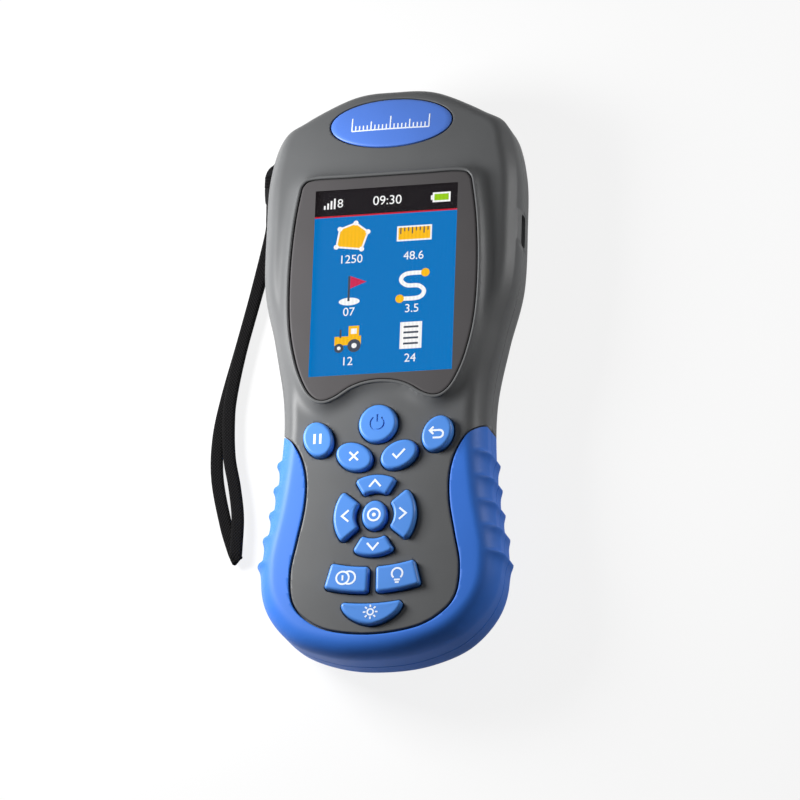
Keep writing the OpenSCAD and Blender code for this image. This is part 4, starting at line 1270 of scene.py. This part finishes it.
strap_black = srgb(14, 13, 14)
strap_braid = plaited("strap_braid", strap_black, ("ShaderNodeUVMap", {"uv_map": "braid"}), {
    "X": math.pi * round(girth / strand),
    "Y": math.pi * round(strap_length / strand),
})
strap_bm = loft(strap_rings, capped=True, uv="braid")
strap = piece("strap", strap_bm, strap_braid, "housing", ["wrist_strap"])
tab_web = plaited("tab_web", strap_black, ("ShaderNodeTexCoord", {}, {}, "Object"), {
    "Y": math.pi / (strand * MM),
    "Z": math.pi / (strand * MM),
})
tab_path = soft_box(bar_x + tab_t, bar_z + tab_t, 0.6) + (lug_bar_x + bar_x / 2, split_z)
tab_section = soft_box(strap_w, tab_t, 0.25)
tab_across, tab_out = tab_section.T
tab_rings = [
    np.stack([x + out_x * tab_out, lug_y + tab_across, z + out_z * tab_out], axis=1)
    for (x, z), (out_x, out_z) in zip(tab_path, outward(tab_path))
]
tab = piece("tab", loft(tab_rings + tab_rings[:1]), tab_web, "housing", ["strap_tab"])

# Inside: the display module, two circuit boards, receiver, lamp, buzzer and battery pack.
# They keep their plain shapes, and each gets the finish of the real part.
board_tint = srgb(20, 92, 52)
tongue_y, tongue_z = 2.6, 0.35


def circuit(name):
    """Green solder resist over straight copper tracks on a glass-fibre board."""
    material, wire, shader = surface(name, Specular_IOR_Level=0.5)
    tracks = wire.node("ShaderNodeTexBrick", {"offset": 0.5, "squash": 1.0}, {
        "Vector": wire.here(),
        "Color1": (1, 1, 1, 1),
        "Color2": (0.6, 0.6, 0.6, 1),
        "Mortar": (0, 0, 0, 1),
        "Scale": 150.0,
        "Mortar Size": 0.06,
        "Brick Width": 1.4,
        "Row Height": 0.24,
    })
    feed(wire.tone(tracks, board_tint, 0.75, 1.35), shader["Base Color"])
    feed(0.36 + 0.12 * tracks, shader["Roughness"])
    feed(wire.bump(tracks, 0.5, 0.04), shader["Normal"])
    return material


board_green = circuit("board_green")
plated_steel = metal("plated_steel", srgb(205, 205, 208), 0.3, 0.18)
chip_black = moulded("chip_black", srgb(30, 30, 32), 0.55, 0.2, 0.01)
inner_finishes = {
    "lcd_module": moulded("panel_glass", srgb(26, 28, 32), 0.2, 0.5, 0.002),
    "backlight_tray": moulded("tray_white", srgb(226, 226, 222), 0.45, 0.3, 0.01),
    "main_board": board_green,
    "power_board": board_green,
    "board_chips": chip_black,
    "keypad_mat": moulded("mat_silicone", srgb(196, 199, 202), 0.6, 0.4, 0.02),
    "switch_domes": metal("dome_steel", srgb(198, 198, 200), 0.25, 0.15),
    "usb_socket": plated_steel,
    "receiver_can": plated_steel,
    "board_link": chip_black,
    "aerial_patch": moulded("aerial_ceramic", srgb(208, 196, 168), 0.5, 0.25, 0.015),
    "lamp_led": moulded("led_phosphor", srgb(236, 226, 150), 0.4, 0.3, 0.005),
    "buzzer": black_plastic,
    "battery_contacts": metal("contact_brass", srgb(222, 186, 110), 0.28, 0.18),
    "board_screws": screw_steel,
}
for node, finish in inner_finishes.items():
    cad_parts[node].data.materials.clear()
    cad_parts[node].data.materials.append(finish)
pack_wrap = moulded("pack_wrap", srgb(46, 50, 58), 0.35, 0.5, 0.004, Coat_Weight=0.3)
piece("battery", softened("battery_pack", 0.7), pack_wrap, "housing", ["battery_pack"])
tongue = block(
    (head_x - 5.8, socket_y - tongue_y, split_z - tongue_z),
    (head_x - 1.6, socket_y + tongue_y, split_z + tongue_z),
    0.1,
)
piece("socket_tongue", tongue, black_plastic, "housing")

# Stage: a pale floor under the meter, with soft light from the upper left and a low lamp at the right.
# The camera looks from the photograph's angle.
view_right = Vector((0.9629, 0.0342, -0.2677)).normalized()
view_up = Vector((0.0551, 0.946, 0.3193)).normalized()
view_back = view_right.cross(view_up).normalized()
view_up = view_back.cross(view_right)
view_target = Vector((5.1, -9.06, 21.44)) * MM
view_distance = 1.6
camera_data = bpy.data.cameras.new("camera")
camera_data.sensor_width = 36
camera_data.lens = 292.3
camera = linked("camera", camera_data)
camera.matrix_world = Matrix.Translation(view_target + view_back * view_distance) @ Matrix(
    (view_right, view_up, view_back)
).transposed().to_4x4()
bpy.context.scene.camera = camera


def softbox(name, aside, up, back, size, power):
    """A square lamp that faces the meter from a place given across, up and out of the view."""
    lamp = bpy.data.lights.new(name, "AREA")
    lamp.size = size
    lamp.energy = power
    made = linked(name, lamp)
    place = view_right * aside + view_up * up + view_back * back
    made.location = view_target + place
    made.rotation_euler = (-place).to_track_quat("-Z", "Y").to_euler()


softbox("key_light", -0.16, 0.052, 0.036, 0.08, 0.72)
softbox("edge_light", 0.296, 0.164, 0.061, 0.1, 0.52)


def looked_at(wire, in_gloss=1):
    """One for rays from the camera or through something clear, a share for a gloss, and none for light."""
    direct, through, gloss = (
        wire.node("ShaderNodeLightPath", out=f"Is {ray} Ray") for ray in ("Camera", "Transmission", "Glossy")
    )
    return wire.math("MAXIMUM", wire.math("MAXIMUM", direct, through), in_gloss * gloss)


world = bpy.data.worlds.new("studio")
world.use_nodes = True
bpy.context.scene.world = world
sky = world.node_tree.nodes["Background"].inputs
ambient = 0.05
feed(ambient + (1 - ambient) * looked_at(Wire(world.node_tree)), sky["Strength"])
sky["Color"].default_value = (1, 1, 1, 1)

floor_reach, floor_gap = 2, 0.0004
floor_glow, floor_in_gloss = 0.86, 0.5
floor_bm = bmesh.new()
bmesh.ops.create_grid(floor_bm, x_segments=1, y_segments=1, size=floor_reach)
bmesh.ops.translate(floor_bm, vec=(0, 0, -floor_gap), verts=floor_bm.verts)
floor = linked("floor", mesh_of(floor_bm, "floor"))
floor_pale, floor_wire, _ = surface("floor_pale", Base_Color=(0.9, 0.9, 0.9, 1), Roughness=0.9)
floor_nodes = floor_pale.node_tree.nodes
mixed = floor_wire.node("ShaderNodeMixShader", {}, {
    0: floor_glow * looked_at(floor_wire, floor_in_gloss),
    1: Wire(floor_wire.tree, floor_nodes["Principled BSDF"].outputs[0]),
    2: floor_wire.node("ShaderNodeEmission", {}, {"Color": (1, 1, 1, 1), "Strength": 1.0}),
})
feed(mixed, floor_nodes["Material Output"].inputs["Surface"])
floor.data.materials.append(floor_pale)

bpy.context.scene.view_settings.view_transform = "Standard"
